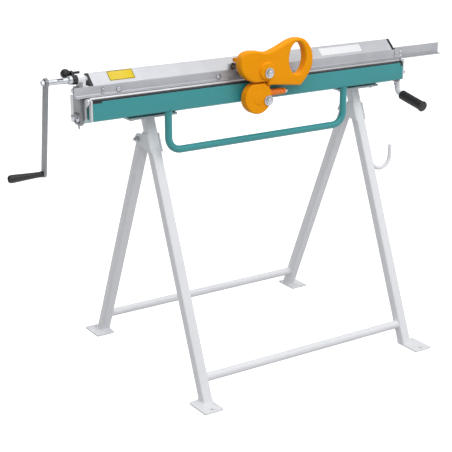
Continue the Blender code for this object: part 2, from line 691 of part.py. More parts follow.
def leg_front(z):
    """Y of the front leg's middle at a height."""
    return FRONT_FOOT_Y + FRONT_LEAN * z


def build_hook():
    """Bent round bar on the outside of the right front leg."""
    face = TRESTLE_SPACING / 2 + LEG_SIZE / 2 + GAP
    y = leg_front(HOOK_HEIGHT)
    start = math.radians(HOOK_START)
    centre = (face + HOOK_RADIUS - HOOK_BEND * math.cos(start), HOOK_HEIGHT - HOOK_BEND * math.sin(start))
    line = [(face, HOOK_HEIGHT)] + arc(centre, HOOK_BEND, HOOK_START, 360.0, COARSE // 2)
    line.append((line[-1][0], line[-1][1] + HOOK_RISE))
    path = [Vector((x, y, z)) for x, z in line]
    hook = sweep(path, HOOK_RADIUS, (0.0, 1.0, 0.0), COARSE // 2)
    add_piece("carry_hook", hook, "white", "stand")


def build_stand():
    """Front legs with everything fixed to them."""
    build_legs("front_leg", "stand", FRONT_FOOT_Y, FRONT_LEAN, STAND_HEIGHT - TOP_PLATE_THICK - GAP)
    build_crossbar("front_crossbar", "stand", FRONT_FOOT_Y, FRONT_LEAN)
    build_feet("front_foot", "stand", -1)
    build_top_plates()
    build_pivots()
    build_hook()


def build_rear_frame():
    """The folding rear legs."""
    build_legs("rear_leg", "rear_frame", REAR_FOOT_Y, -REAR_LEAN, PIVOT_Z + LEG_ABOVE_PIVOT)
    build_crossbar("rear_crossbar", "rear_frame", REAR_FOOT_Y, -REAR_LEAN)
    build_feet("rear_foot", "rear_frame", 1)


def section(points):
    """World outline of points given in front of the bend line and above the bed's top."""
    return [bend(forward, above) for forward, above in points]


def build_bed():
    """Hollow bed beam with the bed plate on it."""
    low = -BED_PLATE_THICK - GAP - BED_BEAM_HEIGHT
    rear = -BED_BEAM_SETBACK - BED_BEAM_DEPTH
    outer = section([(-BED_BEAM_SETBACK - BED_UNDERCUT_DEPTH, low), (rear, low), (rear, low + BED_BEAM_HEIGHT),
                     (-BED_BEAM_SETBACK, low + BED_BEAM_HEIGHT), (-BED_BEAM_SETBACK, low + BED_UNDERCUT_RISE)])
    inner = inset_outline(outer, BED_BEAM_WALL)
    add_piece("bed_beam", hollow_prism("X", outer, inner, BED_LEFT, BED_RIGHT), "green", "stand")
    plate = section([(0.0, -BED_PLATE_THICK), (-BED_PLATE_DEPTH, -BED_PLATE_THICK), (-BED_PLATE_DEPTH, 0.0),
                     (0.0, 0.0)])
    inset = APRON_EAR_THICK + RUN
    add_piece("bed_plate", prism("X", plate, BED_LEFT + inset, BED_RIGHT - inset), "steel", "stand")


def build_bed_ends():
    """End plates of the bed with the hinge pins riveted in, and the eccentric shaft's bearings."""
    low = -BED_PLATE_THICK - GAP - BED_BEAM_HEIGHT
    rear = -BED_BEAM_SETBACK - BED_BEAM_DEPTH
    boss = arc((0.0, -BED_EAR_DROP), BED_EAR_RADIUS, -90.0, 140.0, 12)
    under_boss = -BED_EAR_DROP - 2 * BED_EAR_RADIUS
    outline = section(boss + [
        (-BED_BEAM_SETBACK - BED_EAR_RADIUS, 0.0), (rear, 0.0), (rear, low),
        (-BED_BEAM_SETBACK - BED_UNDERCUT_DEPTH, low), (-BED_BEAM_SETBACK, low + BED_UNDERCUT_RISE),
        (-BED_BEAM_SETBACK, under_boss),
    ])
    for name, side, end in bed_sides():
        inner, outer = end + side * RUN, end + side * BED_END_OUTSIDE
        shape = prism("X", outline, *sorted((inner, outer)))
        plate = add_piece(f"{name}_bed_end_plate", shape, "zinc", "stand")
        start, stop = sorted((inner - side * OVERRUN, outer + side * OVERRUN))
        bore = rod("X", (SHAFT_Y, SHAFT_Z), SHAFT_RADIUS + GAP, start, stop)
        cut(plate, f"{name}_shaft_bearing", bore, "stand")
        tip = end - side * (APRON_EAR_THICK - GAP)
        pin = rod("X", bend(0.0, 0.0), HINGE_PIN_RADIUS, *sorted((tip, outer + side * GAP)))
        join(plate, f"{name}_hinge_pin", pin, "stand")
        head_ends = sorted((outer - side * BED_END_THICK / 2, outer + side * HINGE_HEAD_THICK))
        head = rod("X", bend(0.0, 0.0), HINGE_HEAD_RADIUS, *head_ends)
        join(plate, f"{name}_hinge_pin_head", head, "stand")


def build_apron():
    """The folding leaf: hollow beam, bending bar, end plates with hinge ears, and its handle."""
    top = -GAP - BAR_THICK - GAP
    low = top - APRON_HEIGHT
    inset = APRON_EAR_THICK + GAP
    left, right = BED_LEFT + inset, BED_RIGHT - inset
    outer = section([(GAP + APRON_DEPTH, low), (GAP, low), (GAP, top), (GAP + APRON_DEPTH, top)])
    beam = hollow_prism("X", outer, inset_outline(outer, APRON_WALL), left, right)
    add_piece("apron_beam", beam, "green", "apron")
    bar = rectangle((GAP, -GAP - BAR_THICK), (GAP + BAR_DEPTH, -GAP))
    add_piece("bending_bar", prism("X", section(bar), left, right), "dark", "apron")
    ear = arc((0.0, 0.0), APRON_EAR_RADIUS, 60.0, 180.0, 8)
    outline = section([(GAP + APRON_DEPTH, low), (GAP + APRON_DEPTH, -GAP)] + ear
                      + [(-APRON_EAR_RADIUS, -APRON_EAR_RADIUS), (GAP, -2 * APRON_EAR_RADIUS), (GAP, low)])
    for name, side, end in bed_sides():
        plate = prism("X", outline, *sorted((end, end - side * APRON_EAR_THICK)))
        piece = add_piece(f"{name}_apron_end_plate", plate, "zinc", "apron")
        start, stop = sorted((end + side * OVERRUN, end - side * (APRON_EAR_THICK + OVERRUN)))
        bore = rod("X", bend(0.0, 0.0), HINGE_PIN_RADIUS + GAP, start, stop)
        cut(piece, f"{name}_apron_ear_bore", bore, "apron")
    build_apron_handle(BED_TOP + low - GAP)


def build_apron_handle(top):
    """Round U handle under the apron with a collar at the top of each upright."""
    y = BEND_Y - HANDLE_AXIS
    left, right = BED_LEFT + HANDLE_LEFT, BED_LEFT + HANDLE_LEFT + HANDLE_WIDTH
    bottom = top - HANDLE_DROP
    corners = [(left, y, top), (left, y, bottom), (right, y, bottom), (right, y, top)]
    bar = sweep(rounded_path(corners, HANDLE_BEND), HANDLE_RADIUS, (0.0, 1.0, 0.0))
    handle = add_piece("apron_handle", bar, "green", "apron")
    collars = bmesh.new()
    for x in (left, right):
        rod("Z", (x, y), COLLAR_RADIUS, top - COLLAR_HEIGHT, top, COARSE, collars)
    join(handle, "handle_collars", collars, "apron")


def build_nose_and_beam():
    """Clamp nose with a bevelled edge, and the hollow beam with the sloping top above it."""
    inset = APRON_EAR_THICK + RUN
    nose = section([(-RUN, CLAMP_GAP), (-RUN, NOSE_TOP - NOSE_BEVEL), (-RUN - NOSE_BEVEL, NOSE_TOP),
                    (-NOSE_DEPTH, NOSE_TOP), (-NOSE_DEPTH, CLAMP_GAP)])
    add_piece("clamp_nose", prism("X", nose, BED_LEFT + inset, BED_RIGHT - inset), "steel", "clamp_beam")
    outer = beam_outline()
    inner = inset_outline(outer, BEAM_WALL)
    tube = hollow_prism("X", outer, inner, BEAM_LEFT, BEAM_RIGHT)
    add_piece("clamp_beam_section", tube, "aluminium", "clamp_beam")
    for name, low in (("left", BEAM_LEFT - GAP - CAP_THICK), ("right", BEAM_RIGHT + GAP)):
        add_piece(f"{name}_beam_cap", prism("X", outer, low, low + CAP_THICK), "black", "clamp_beam")


def beam_outline():
    """The clamp beam's cross-section, anticlockwise seen from its right end."""
    ridge_front = BEAM_FRONT - BEAM_SLOPE_DEPTH
    ridge = RAIL_LOW + BEAM_FRONT_HEIGHT + BEAM_SLOPE_RISE
    rear = BEAM_FRONT - BEAM_DEPTH
    return section([(BEAM_FRONT, RAIL_LOW), (rear, RAIL_LOW), (rear, RAIL_LOW + BEAM_REAR_HEIGHT),
                    (ridge_front - BEAM_RIDGE, ridge), (ridge_front, ridge),
                    (BEAM_FRONT, RAIL_LOW + BEAM_FRONT_HEIGHT)])


def build_rail():
    """Slitter rail with its lip, and the extension bolted behind its right end."""
    lip = RAIL_WEB_REAR + RAIL_LIP
    ledge = RAIL_LOW + RAIL_FLANGE
    rail = section([(RAIL_WEB_REAR, RAIL_LOW), (lip, RAIL_LOW), (lip, ledge), (RAIL_WEB_FRONT, ledge),
                    (RAIL_WEB_FRONT, RAIL_TOP), (RAIL_WEB_REAR, RAIL_TOP)])
    piece = add_piece("slitter_rail", prism("X", rail, RAIL_LEFT, RAIL_RIGHT), "aluminium", "clamp_beam")
    join(piece, "rail_rivets_and_screws", rail_fasteners(), "clamp_beam")
    web = section(rectangle((BEAM_FRONT - EXTENSION_WEB, RAIL_LOW), (BEAM_FRONT, RAIL_TOP + EXTENSION_RISE)))
    web_shape = prism("X", web, RAIL_RIGHT - EXTENSION_LAP, EXTENSION_RIGHT)
    extension = add_piece("rail_extension", web_shape, "aluminium", "clamp_beam")
    flange = section(rectangle((BEAM_FRONT - EXTENSION_WEB / 2, RAIL_LOW), (lip, RAIL_LOW + EXTENSION_WEB)))
    flange_shape = prism("X", flange, RAIL_RIGHT + GAP, EXTENSION_RIGHT)
    join(extension, "extension_flange", flange_shape, "clamp_beam")


def rail_fasteners():
    """Domed rivets and small screw heads that stand on the rail's front face."""
    root, face = depth(RAIL_WEB_FRONT - RAIL_WEB / 2), depth(RAIL_WEB_FRONT)
    heads = bmesh.new()
    for i in range(BUTTON_COUNT):
        x = BED_LEFT + BUTTON_FIRST + i * BUTTON_SPACING
        profile = [(0.0, root), (BUTTON_RADIUS, root)]
        profile += [(BUTTON_RADIUS * wide, face - BUTTON_PROUD * rise) for wide, rise in BUTTON_DOME_SHARES]
        turned("Y", (x, BED_TOP + BUTTON_HEIGHT), profile, COARSE, heads)
    pair = (RAIL_LOW + RAIL_HEIGHT / 3, RAIL_LOW + RAIL_HEIGHT * 2 / 3)
    places = (BUTTON_FIRST / 2, BED_LENGTH + RAIL_PAST_RIGHT - EXTENSION_LAP * 3 / 4,
              BED_LENGTH + RAIL_PAST_RIGHT - EXTENSION_LAP / 4)
    for place in places:
        for above in pair:
            rod("Y", (BED_LEFT + place, BED_TOP + above), RAIL_SCREW_RADIUS, face - RAIL_SCREW_PROUD, root,
                COARSE // 2, heads)
    return heads


def build_links():
    """Brackets at both ends of the clamp beam, and the links that reach down to the eccentrics."""
    low = RAIL_LOW
    left_inner, left_outer = BEAM_LEFT - CAP_THICK - 2 * GAP, BED_LEFT - LINK_INSIDE + GAP
    right_inner, right_outer = BEAM_RIGHT + CAP_THICK + 2 * GAP, BED_RIGHT + LINK_INSIDE - GAP
    block = section([(LINK_FRONT, low), (LINK_FRONT - BRACKET_DEPTH, low),
                     (LINK_FRONT - BRACKET_DEPTH, low + BRACKET_HEIGHT), (LINK_FRONT, low + BRACKET_HEIGHT)])
    add_piece("right_bracket", prism("X", block, right_inner, right_outer), "zinc", "clamp_beam")
    build_mandrel_bearing(left_outer, left_inner)
    disc_low = SHAFT_Z + ECCENTRICITY * math.sin(math.radians(ECCENTRIC_START))
    tall = ECCENTRIC_RADIUS + WINDOW_CLEARANCE
    wide = ECCENTRIC_RADIUS + RUN + ECCENTRICITY * (1 - LIFT_COSINE) / 2
    middle = depth(WINDOW_FORWARD)
    bottom = disc_low - tall - LINK_WALL
    top = BED_TOP + LINK_ABOVE_BED
    front, rear = middle - LINK_DEPTH / 2, middle + LINK_DEPTH / 2
    outline = [(front, bottom + LINK_CORNER), (front + LINK_CORNER, bottom), (rear - LINK_CORNER, bottom),
               (rear, bottom + LINK_CORNER), (rear, top), (front, top)]
    for name, side, end in bed_sides():
        inner, outer = end + side * LINK_INSIDE, end + side * LINK_OUTSIDE
        start, stop = sorted((inner, outer))
        link = add_piece(f"{name}_clamp_link", prism("X", outline, start, stop), "zinc", "clamp_beam")
        window = prism("X", rectangle((middle - wide, disc_low - tall), (middle + wide, disc_low + tall)),
                       start - OVERRUN, stop + OVERRUN)
        cut(link, f"{name}_link_window", window, "clamp_beam")
        bolts = bmesh.new()
        for step in (-1, 1):
            place = (middle + step * LINK_BOLT_SPACING / 2, BED_TOP + LINK_BOLT_HEIGHT)
            ends = sorted((outer - side * LINK_THICK / 2, outer + side * LINK_BOLT_THICK))
            hexagon("X", place, LINK_BOLT_RADIUS, *ends, bolts)
        join(link, f"{name}_link_bolts", bolts, "clamp_beam")
        under_nut = bottom - LINK_NUT_THICK
        profile = [(0.0, bottom + LINK_WALL / 2), (LINK_NUT_RADIUS, bottom + LINK_WALL / 2),
                   (LINK_NUT_RADIUS, under_nut), (LINK_SCREW_RADIUS, under_nut),
                   (0.0, bottom - LINK_SCREW_LENGTH)]
        screw = turned("Z", ((inner + outer) / 2, middle), profile, COARSE // 2)
        join(link, f"{name}_link_screw", screw, "clamp_beam")


def build_mandrel_bearing(left, right):
    """Left bracket with the mandrel's round boss, the black bush with the knob's lug, and the locking collar."""
    centre = (MANDREL_Y, MANDREL_Z)
    low, shoulder = BED_TOP + RAIL_LOW, BED_TOP + RAIL_TOP
    front, rear = BEND_Y - LINK_FRONT, BEND_Y - LINK_FRONT + BRACKET_DEPTH
    outline = [(front, low), (rear, low), (rear, shoulder)] + arc(centre, BEARING_RADIUS, 0.0, 180.0, 12)
    bracket = add_piece("mandrel_bracket", prism("X", outline + [(front, shoulder)], left, right), "white",
                        "clamp_beam")
    boss_left = left - BRACKET_BOSS_LENGTH
    join(bracket, "mandrel_bracket_boss", rod("X", centre, BEARING_RADIUS, boss_left, left + GAP, FINE),
         "clamp_beam")
    bore = rod("X", centre, MANDREL_RADIUS + GAP, boss_left - OVERRUN, right + OVERRUN, FINE)
    cut(bracket, "mandrel_bracket_bore", bore, "clamp_beam")
    bush_right = BUSH_LEFT + BUSH_LENGTH
    bush = add_piece("bearing_bush", rod("X", centre, BEARING_RADIUS, BUSH_LEFT, bush_right, FINE), "black",
                     "clamp_beam")
    aim = math.degrees(math.atan2(KNOB_ABOVE, KNOB_BEHIND))
    lug = arc(KNOB_AXIS, BUSH_LUG_RADIUS, aim - 90.0, aim + 90.0, 8)
    lug += arc(centre, BUSH_LUG_RADIUS, aim + 90.0, aim + 270.0, 8)
    lug_shape = prism("X", lug, BUSH_LUG_RIGHT - BUSH_LUG_THICK, BUSH_LUG_RIGHT)
    join(bush, "bush_lug", lug_shape, "clamp_beam")
    bore = rod("X", centre, MANDREL_RADIUS + GAP, BUSH_LEFT - OVERRUN, bush_right + OVERRUN, FINE)
    rod("X", KNOB_AXIS, KNOB_STEM_RADIUS + GAP, BUSH_LEFT - OVERRUN, bush_right + OVERRUN, COARSE, bore)
    cut(bush, "bearing_bush_bore", bore, "clamp_beam")
    collar_right = LOCK_COLLAR_LEFT + LOCK_COLLAR_LENGTH
    collar = ring("X", centre, LOCK_COLLAR_RADIUS, MANDREL_RADIUS + GAP, LOCK_COLLAR_LEFT, collar_right, FINE)
    add_piece("locking_collar", collar, "zinc", "clamp_beam")


def build_clamp_beam():
    """Everything that the eccentrics lift."""
    build_nose_and_beam()
    build_rail()
    build_links()


def build_clamp_shaft():
    """Eccentric shaft with its two discs and end nuts, and the lever with its grip."""
    centre = (SHAFT_Y, SHAFT_Z)
    turn = math.radians(ECCENTRIC_START)
    disc = (SHAFT_Y - ECCENTRICITY * math.cos(turn), SHAFT_Z + ECCENTRICITY * math.sin(turn))
    left_end = BED_LEFT - LINK_OUTSIDE - SHAFT_PAST_LINK - SHAFT_NUT_THICK
    hub_left = BED_RIGHT + LINK_OUTSIDE + RUN
    right_end = hub_left + LEVER_HUB_LENGTH + SHAFT_PAST_LINK + SHAFT_NUT_THICK
    bar = rod("X", centre, SHAFT_RADIUS, left_end, right_end)
    shaft = add_piece("eccentric_shaft", bar, "zinc", "clamp_shaft")
    discs = bmesh.new()
    for _, side, end in bed_sides():
        start, stop = sorted((end + side * (LINK_INSIDE + RUN / 2), end + side * (LINK_OUTSIDE - RUN / 2)))
        rod("X", disc, ECCENTRIC_RADIUS, start, stop, FINE, discs)
    join(shaft, "eccentric_discs", discs, "clamp_shaft")
    nuts = bmesh.new()
    for low in (BED_LEFT - LINK_OUTSIDE - RUN - SHAFT_NUT_THICK, hub_left + LEVER_HUB_LENGTH + GAP):
        hexagon("X", centre, SHAFT_NUT_RADIUS, low, low + SHAFT_NUT_THICK, nuts)
    join(shaft, "shaft_nuts", nuts, "clamp_shaft")
    build_lever(hub_left)


def build_lever(hub_left):
    """Lever tube bent forwards with its hub, and the ribbed grip on its end."""
    x = hub_left + LEVER_RADIUS
    start = Vector((x, SHAFT_Y, SHAFT_Z - LEVER_START))
    corner = Vector((x, SHAFT_Y - LEVER_LEAN, SHAFT_Z - LEVER_LOWER))
    tilt = math.atan2(LEVER_GRIP_DROP, GRIP_LENGTH)
    ahead = Vector((0.0, -math.cos(tilt), -math.sin(tilt)))
    grip_start = corner + ahead * LEVER_BEND
    end = grip_start + ahead * LEVER_TUBE_END
    shape = sweep(rounded_path([start, corner, end], LEVER_BEND), LEVER_RADIUS, (1.0, 0.0, 0.0))
    lever = add_piece("clamp_lever", shape, "white", "clamp_shaft")
    centre = (SHAFT_Y, SHAFT_Z)
    join(lever, "lever_hub", rod("X", centre, LEVER_START + GAP, hub_left, hub_left + LEVER_HUB_LENGTH, FINE),
         "clamp_shaft")
    bore = rod("X", centre, SHAFT_RADIUS + GAP, hub_left - OVERRUN, hub_left + LEVER_HUB_LENGTH + OVERRUN)
    cut(lever, "lever_hub_bore", bore, "clamp_shaft")
    y, bore = grip_start.y, LEVER_RADIUS + GAP
    depth_in = LEVER_TUBE_END + GAP
    flange = GRIP_RADIUS + GRIP_FLANGE
    tip = y - GRIP_LENGTH
    shoulder = tip + GRIP_FLANGE_LENGTH
    profile = [(0.0, y - depth_in), (bore, y - depth_in), (bore, y), (GRIP_RADIUS, y),
               (GRIP_RADIUS, shoulder), (flange, shoulder), (flange, tip + GRIP_FLANGE),
               (GRIP_RADIUS, tip), (0.0, tip)]
    grip = turned("Y", (x, grip_start.z), profile, COARSE)
    bmesh.ops.rotate(grip, cent=grip_start, matrix=Matrix.Rotation(tilt, 3, "X"), verts=grip.verts)
    add_piece("lever_grip", grip, "black", "clamp_shaft")


def build_crank():
    """Slotted mandrel with its crank arm, hub nut and turning handle."""
    centre = (MANDREL_Y, MANDREL_Z)
    right = BEAM_LEFT - CAP_THICK - 2 * GAP - MANDREL_INNER_END
    spindle_left = CRANK_LEFT - 2 * GAP - CRANK_NUT_THICK
    neck = MANDREL_NECK_RADIUS
    profile = [(0.0, spindle_left), (neck, spindle_left), (neck, CRANK_RIGHT), (MANDREL_RADIUS, CRANK_RIGHT),
               (MANDREL_RADIUS, right), (0.0, right)]
    mandrel = add_piece("bead_mandrel", turned("X", centre, profile, FINE), "zinc", "crank")
    half = MANDREL_SLOT_WIDTH / 2
    slot_left = CRANK_RIGHT + MANDREL_SLOT_FROM_CRANK
    slot = prism("X", rectangle((-MANDREL_RADIUS - OVERRUN, -half), (MANDREL_RADIUS + OVERRUN, half)),
                 slot_left, slot_left + MANDREL_SLOT_LENGTH)
    bmesh.ops.rotate(slot, cent=(0.0, 0.0, 0.0), matrix=Matrix.Rotation(math.radians(-SLOT_TILT), 3, "X"),
                     verts=slot.verts)
    bmesh.ops.translate(slot, vec=(0.0, MANDREL_Y, MANDREL_Z), verts=slot.verts)
    cut(mandrel, "mandrel_slot", slot, "crank")
    half = CRANK_WIDTH / 2
    outline = arc(centre, CRANK_HUB_RADIUS, CRANK_TURN - 40.0, CRANK_TURN + 220.0, 16)
    foot = arc(CRANK_FOOT, half, CRANK_TURN + 180.0, CRANK_TURN + 360.0, 10)
    arm = add_piece("crank_arm", prism("X", outline + foot, CRANK_LEFT, CRANK_RIGHT - GAP), "zinc", "crank")
    bore = rod("X", centre, neck + GAP, CRANK_LEFT - OVERRUN, CRANK_RIGHT + OVERRUN, COARSE)
    rod("X", CRANK_FOOT, HANDLE_PIN_RADIUS + GAP, CRANK_LEFT - OVERRUN, CRANK_RIGHT + OVERRUN, COARSE, bore)
    cut(arm, "crank_arm_bores", bore, "crank")
    nut = hexagon("X", centre, CRANK_NUT_RADIUS, CRANK_LEFT - GAP - CRANK_NUT_THICK, CRANK_LEFT - GAP)
    join(mandrel, "crank_nut", nut, "crank")
    build_crank_handle(CRANK_FOOT)


def build_crank_handle(centre):
    """Tapered handle that turns on a pin through the crank arm."""
    right = CRANK_LEFT - RUN
    left = CRANK_HANDLE_LEFT
    pin_left = left + HANDLE_RECESS
    pin_right = CRANK_RIGHT + HANDLE_PIN_HEAD_THICK / 2
    profile = [(0.0, pin_left), (HANDLE_PIN_RADIUS, pin_left), (HANDLE_PIN_RADIUS, CRANK_RIGHT),
               (HANDLE_PIN_HEAD, CRANK_RIGHT), (HANDLE_PIN_HEAD, pin_right), (0.0, pin_right)]
    add_piece("handle_pin", turned("X", centre, profile, COARSE), "zinc", "crank")
    bore = HANDLE_PIN_RADIUS + GAP
    recess, floor = HANDLE_PIN_HEAD, left + HANDLE_RECESS / 2
    waist = (CRANK_HANDLE_SMALL + CRANK_HANDLE_LARGE) / 2
    length = right - left
    profile = [(bore, right), (CRANK_HANDLE_SMALL, right), (waist, right - length / 2),
               (CRANK_HANDLE_LARGE, left + HANDLE_RECESS), (CRANK_HANDLE_LARGE - HANDLE_PIN_RADIUS / 2, left),
               (recess, left), (recess, floor), (bore, floor), (bore, right)]
    handle = turned("X", centre, profile, COARSE)
    add_piece("crank_handle_grip", handle, "black", "crank_handle")


def build_lock_knob():
    """Ball knob whose stem passes through the bush's lug."""
    stem = KNOB_X + math.sqrt(KNOB_RADIUS ** 2 - KNOB_STEM_RADIUS ** 2)
    narrow = math.degrees(math.asin(KNOB_STEM_RADIUS / KNOB_RADIUS))
    ball = arc((0.0, KNOB_X), KNOB_RADIUS, -90.0, 90.0 - narrow, COARSE // 2)[1:]
    profile = [(0.0, KNOB_X - KNOB_RADIUS)] + ball
    profile += [(KNOB_STEM_RADIUS, stem + KNOB_STEM_LENGTH), (0.0, stem + KNOB_STEM_LENGTH)]
    add_piece("lock_knob", turned("X", KNOB_AXIS, profile, COARSE), "black", "lock_knob")


def cutter(x, above):
    """World X and Z of a point given from the cutter's middle and above the bed's top."""
    return (CUTTER_X + x, BED_TOP + above)


def slab(points, rear, front, shape=None):
    """A plate of the cutter: an outline from its middle, between two planes in front of the bend line."""
    return prism("Y", [cutter(*point) for point in points], depth(front), depth(rear), shape)


def body_outline():
    """Outline of the cutter's body, clockwise from its left end, in shares of its length and top."""
    top_shares = (
        (0.0, 0.45), (0.007, 0.715), (0.03, 0.753), (0.19, 0.737), (0.357, 0.717), (0.464, 0.783),
        (0.575, 0.878), (0.673, 0.965), (0.76, 1.0), (0.86, 0.974), (0.93, 0.855), (0.974, 0.715),
        (0.995, 0.587), (1.0, 0.455), (0.998, 0.328), (0.974, 0.179), (0.94, 0.068), (0.89, -0.065),
        (0.83, -0.182),
    )
    points = [(share[0] * BODY_LENGTH - BODY_LEFT, share[1] * BODY_TOP) for share in top_shares]
    low_shares = ((0.196, 0.0), (0.114, 0.077), (0.032, 0.244))
    low = [(share[0] * BODY_LENGTH - BODY_LEFT, share[1] * BODY_TOP + THROAT_TOP) for share in low_shares]
    web = THROAT_TOP - NECK_WEB
    neck = [(NECK_RIGHT, web), (THROAT_END, web), (THROAT_END, THROAT_TOP)]
    return points + neck + low


def build_cutter_body():
    """Cast body with its hand hole, boss, hinge lugs, and the neck behind the lower housing."""
    rear, front = BODY_SETBACK, BODY_SETBACK + BODY_DEPTH
    body = add_piece("cutter_body", slab(body_outline(), rear, front), "orange", "cutter_head")
    neck = rectangle((THROAT_END, -NECK_LOW), (NECK_RIGHT, THROAT_TOP))
    join(body, "body_neck", slab(neck, rear + GAP, rear + NECK_DEPTH), "cutter_head")
    boss = circle(BOSS_AT, BOSS_RADIUS, FINE)
    join(body, "body_boss", slab(boss, front - OVERRUN, front + BOSS_DEPTH), "cutter_head")
    middle = Vector(HAND_HOLE_AT)
    hole = [middle + Vector((x * HAND_HOLE_WIDTH / 2, z * HAND_HOLE_HEIGHT / 2))
            for x, z in circle((0.0, 0.0), 1.0, COARSE)]
    cut(body, "hand_hole", slab(hole, rear - OVERRUN, front + OVERRUN), "cutter_head")
    lugs = bmesh.new()
    tip = (-TIP_BEHIND, TIP_HEIGHT)
    root = rear + OVERRUN
    outline = section(arc(tip, LUG_RADIUS, 90.0, 270.0, 10)
                      + [(root, TIP_HEIGHT - 2 * LUG_RADIUS), (root, TIP_HEIGHT + 2 * LUG_RADIUS)])
    for left in (LUG_LEFT, LUG_RIGHT - LUG_THICK):
        prism("X", outline, CUTTER_X + left, CUTTER_X + left + LUG_THICK, lugs)
    join(body, "body_lugs", lugs, "cutter_head")
    bore = rod("X", (TIP_Y, TIP_Z), TIP_PIN_RADIUS + GAP, CUTTER_X + LUG_LEFT - OVERRUN,
               CUTTER_X + LUG_RIGHT + OVERRUN, COARSE)
    cut(body, "lug_bores", bore, "cutter_head")


def build_lower_housing():
    """Round cover over the lower wheel with the lobe of its bolt, cut flat under the sheet."""
    rear = BODY_SETBACK
    split = rear + NECK_DEPTH + GAP
    front = rear + LOWER_DEPTH
    centre = LOWER_WHEEL_AT
    top = math.degrees(math.asin((THROAT_BOTTOM - centre[1]) / HOUSING_RADIUS))
    side = math.degrees(math.acos((THROAT_END - GAP - centre[0]) / HOUSING_RADIUS))
    cover = slab(arc(centre, HOUSING_RADIUS, 180.0 - top, 360.0 + top, FINE), split, front)
    housing = add_piece("lower_wheel_housing", cover, "orange", "cutter_head")
    back = [(THROAT_END - GAP, THROAT_BOTTOM)] + arc(centre, HOUSING_RADIUS, 180.0 - top, 360.0 - side, FINE)
    join(housing, "housing_back", slab(back, rear, split + GAP), "cutter_head")
    lobe = circle(LOWER_BOLT_AT, LOBE_RADIUS, FINE)
    join(housing, "housing_lobe", slab(lobe, split + GAP, front + GAP), "cutter_head")


def build_cutter_bolts():
    """Domed nuts on their washers, on the boss and on the lobe."""
    places = (("main_bolt", MAIN_BOLT_AT, BODY_SETBACK + BODY_DEPTH + BOSS_DEPTH),
              ("lower_bolt", LOWER_BOLT_AT, BODY_SETBACK + LOWER_DEPTH + GAP))
    for name, place, face in places:
        y = depth(face + GAP)
        washer = y - WASHER_THICK
        profile = [(0.0, y), (WASHER_RADIUS, y), (WASHER_RADIUS, washer), (DOME_RADIUS, washer),
                   (DOME_RADIUS, washer - DOME_HEIGHT / 2)]
        profile += [(DOME_RADIUS * math.cos(a), washer - DOME_HEIGHT / 2 * (1 + math.sin(a)))
                    for a in (math.radians(30.0), math.radians(60.0))]
        dome = turned("Y", cutter(*place), profile + [(0.0, washer - DOME_HEIGHT)], COARSE)
        add_piece(name, dome, "zinc", "cutter_head")


def build_tension_knob():
    """Ribbed tension knob beside the neck, with its bright end."""
    centre = (depth(BODY_SETBACK + NECK_DEPTH / 2), BED_TOP - TENSION_LEVEL)
    left = CUTTER_X + NECK_RIGHT + GAP
    step = TENSION_KNOB_LENGTH / (2 * TENSION_RIBS)
    groove = TENSION_KNOB_RADIUS - TENSION_RIB
    profile = [(0.0, left)]
    for i in range(TENSION_RIBS):
        start = left + 2 * i * step
        profile += [(groove, start), (TENSION_KNOB_RADIUS, start + step / 2),
                    (TENSION_KNOB_RADIUS, start + step), (groove, start + step * 3 / 2)]
    right = left + TENSION_KNOB_LENGTH
    profile += [(TENSION_END_RADIUS, right), (TENSION_END_RADIUS, right + TENSION_END / 2),
                (TENSION_END_RADIUS / 2, right + TENSION_END), (0.0, right + TENSION_END)]
    add_piece("tension_knob", turned("X", centre, profile, COARSE), "orange", "cutter_head")


def build_wheel(name, body, place, front, radius):
    """A cutting wheel with a bevelled rim and a bore."""
    x, z = cutter(*place)
    rear = front - WHEEL_THICK
    bevel = WHEEL_THICK / 2
    near, far = depth(front), depth(rear)
    rim = (near, far) if body == "upper_wheel" else (far, near)
    sharp, blunt = rim[1], rim[0]
    middle = (near + far) / 2
    profile = [(WHEEL_BORE, sharp), (radius, sharp), (radius, middle), (radius - bevel, blunt),
               (WHEEL_BORE, blunt), (WHEEL_BORE, sharp)]
    add_piece(name, turned("Y", (x, z), profile, FINE), "steel", body)


def build_axle(name, place, front):
    """A wheel's axle, with its head behind the wheel and its spacer before it."""
    shank = WHEEL_BORE - GAP
    rear = front - WHEEL_THICK
    head, back = depth(rear - RUN), depth(rear - RUN - AXLE_HEAD_THICK)
    end = depth(BODY_SETBACK - GAP)
    spacer = depth(front + RUN / 2)
    profile = [(0.0, back), (AXLE_HEAD, back), (AXLE_HEAD, head), (shank, head), (shank, spacer)]
    if front < LOWER_WHEEL_FRONT:
        profile += [(AXLE_HEAD, spacer), (AXLE_HEAD, end)]
    else:
        profile += [(shank, end)]
    add_piece(name, turned("Y", cutter(*place), profile + [(0.0, end)], COARSE), "zinc", "cutter_head")


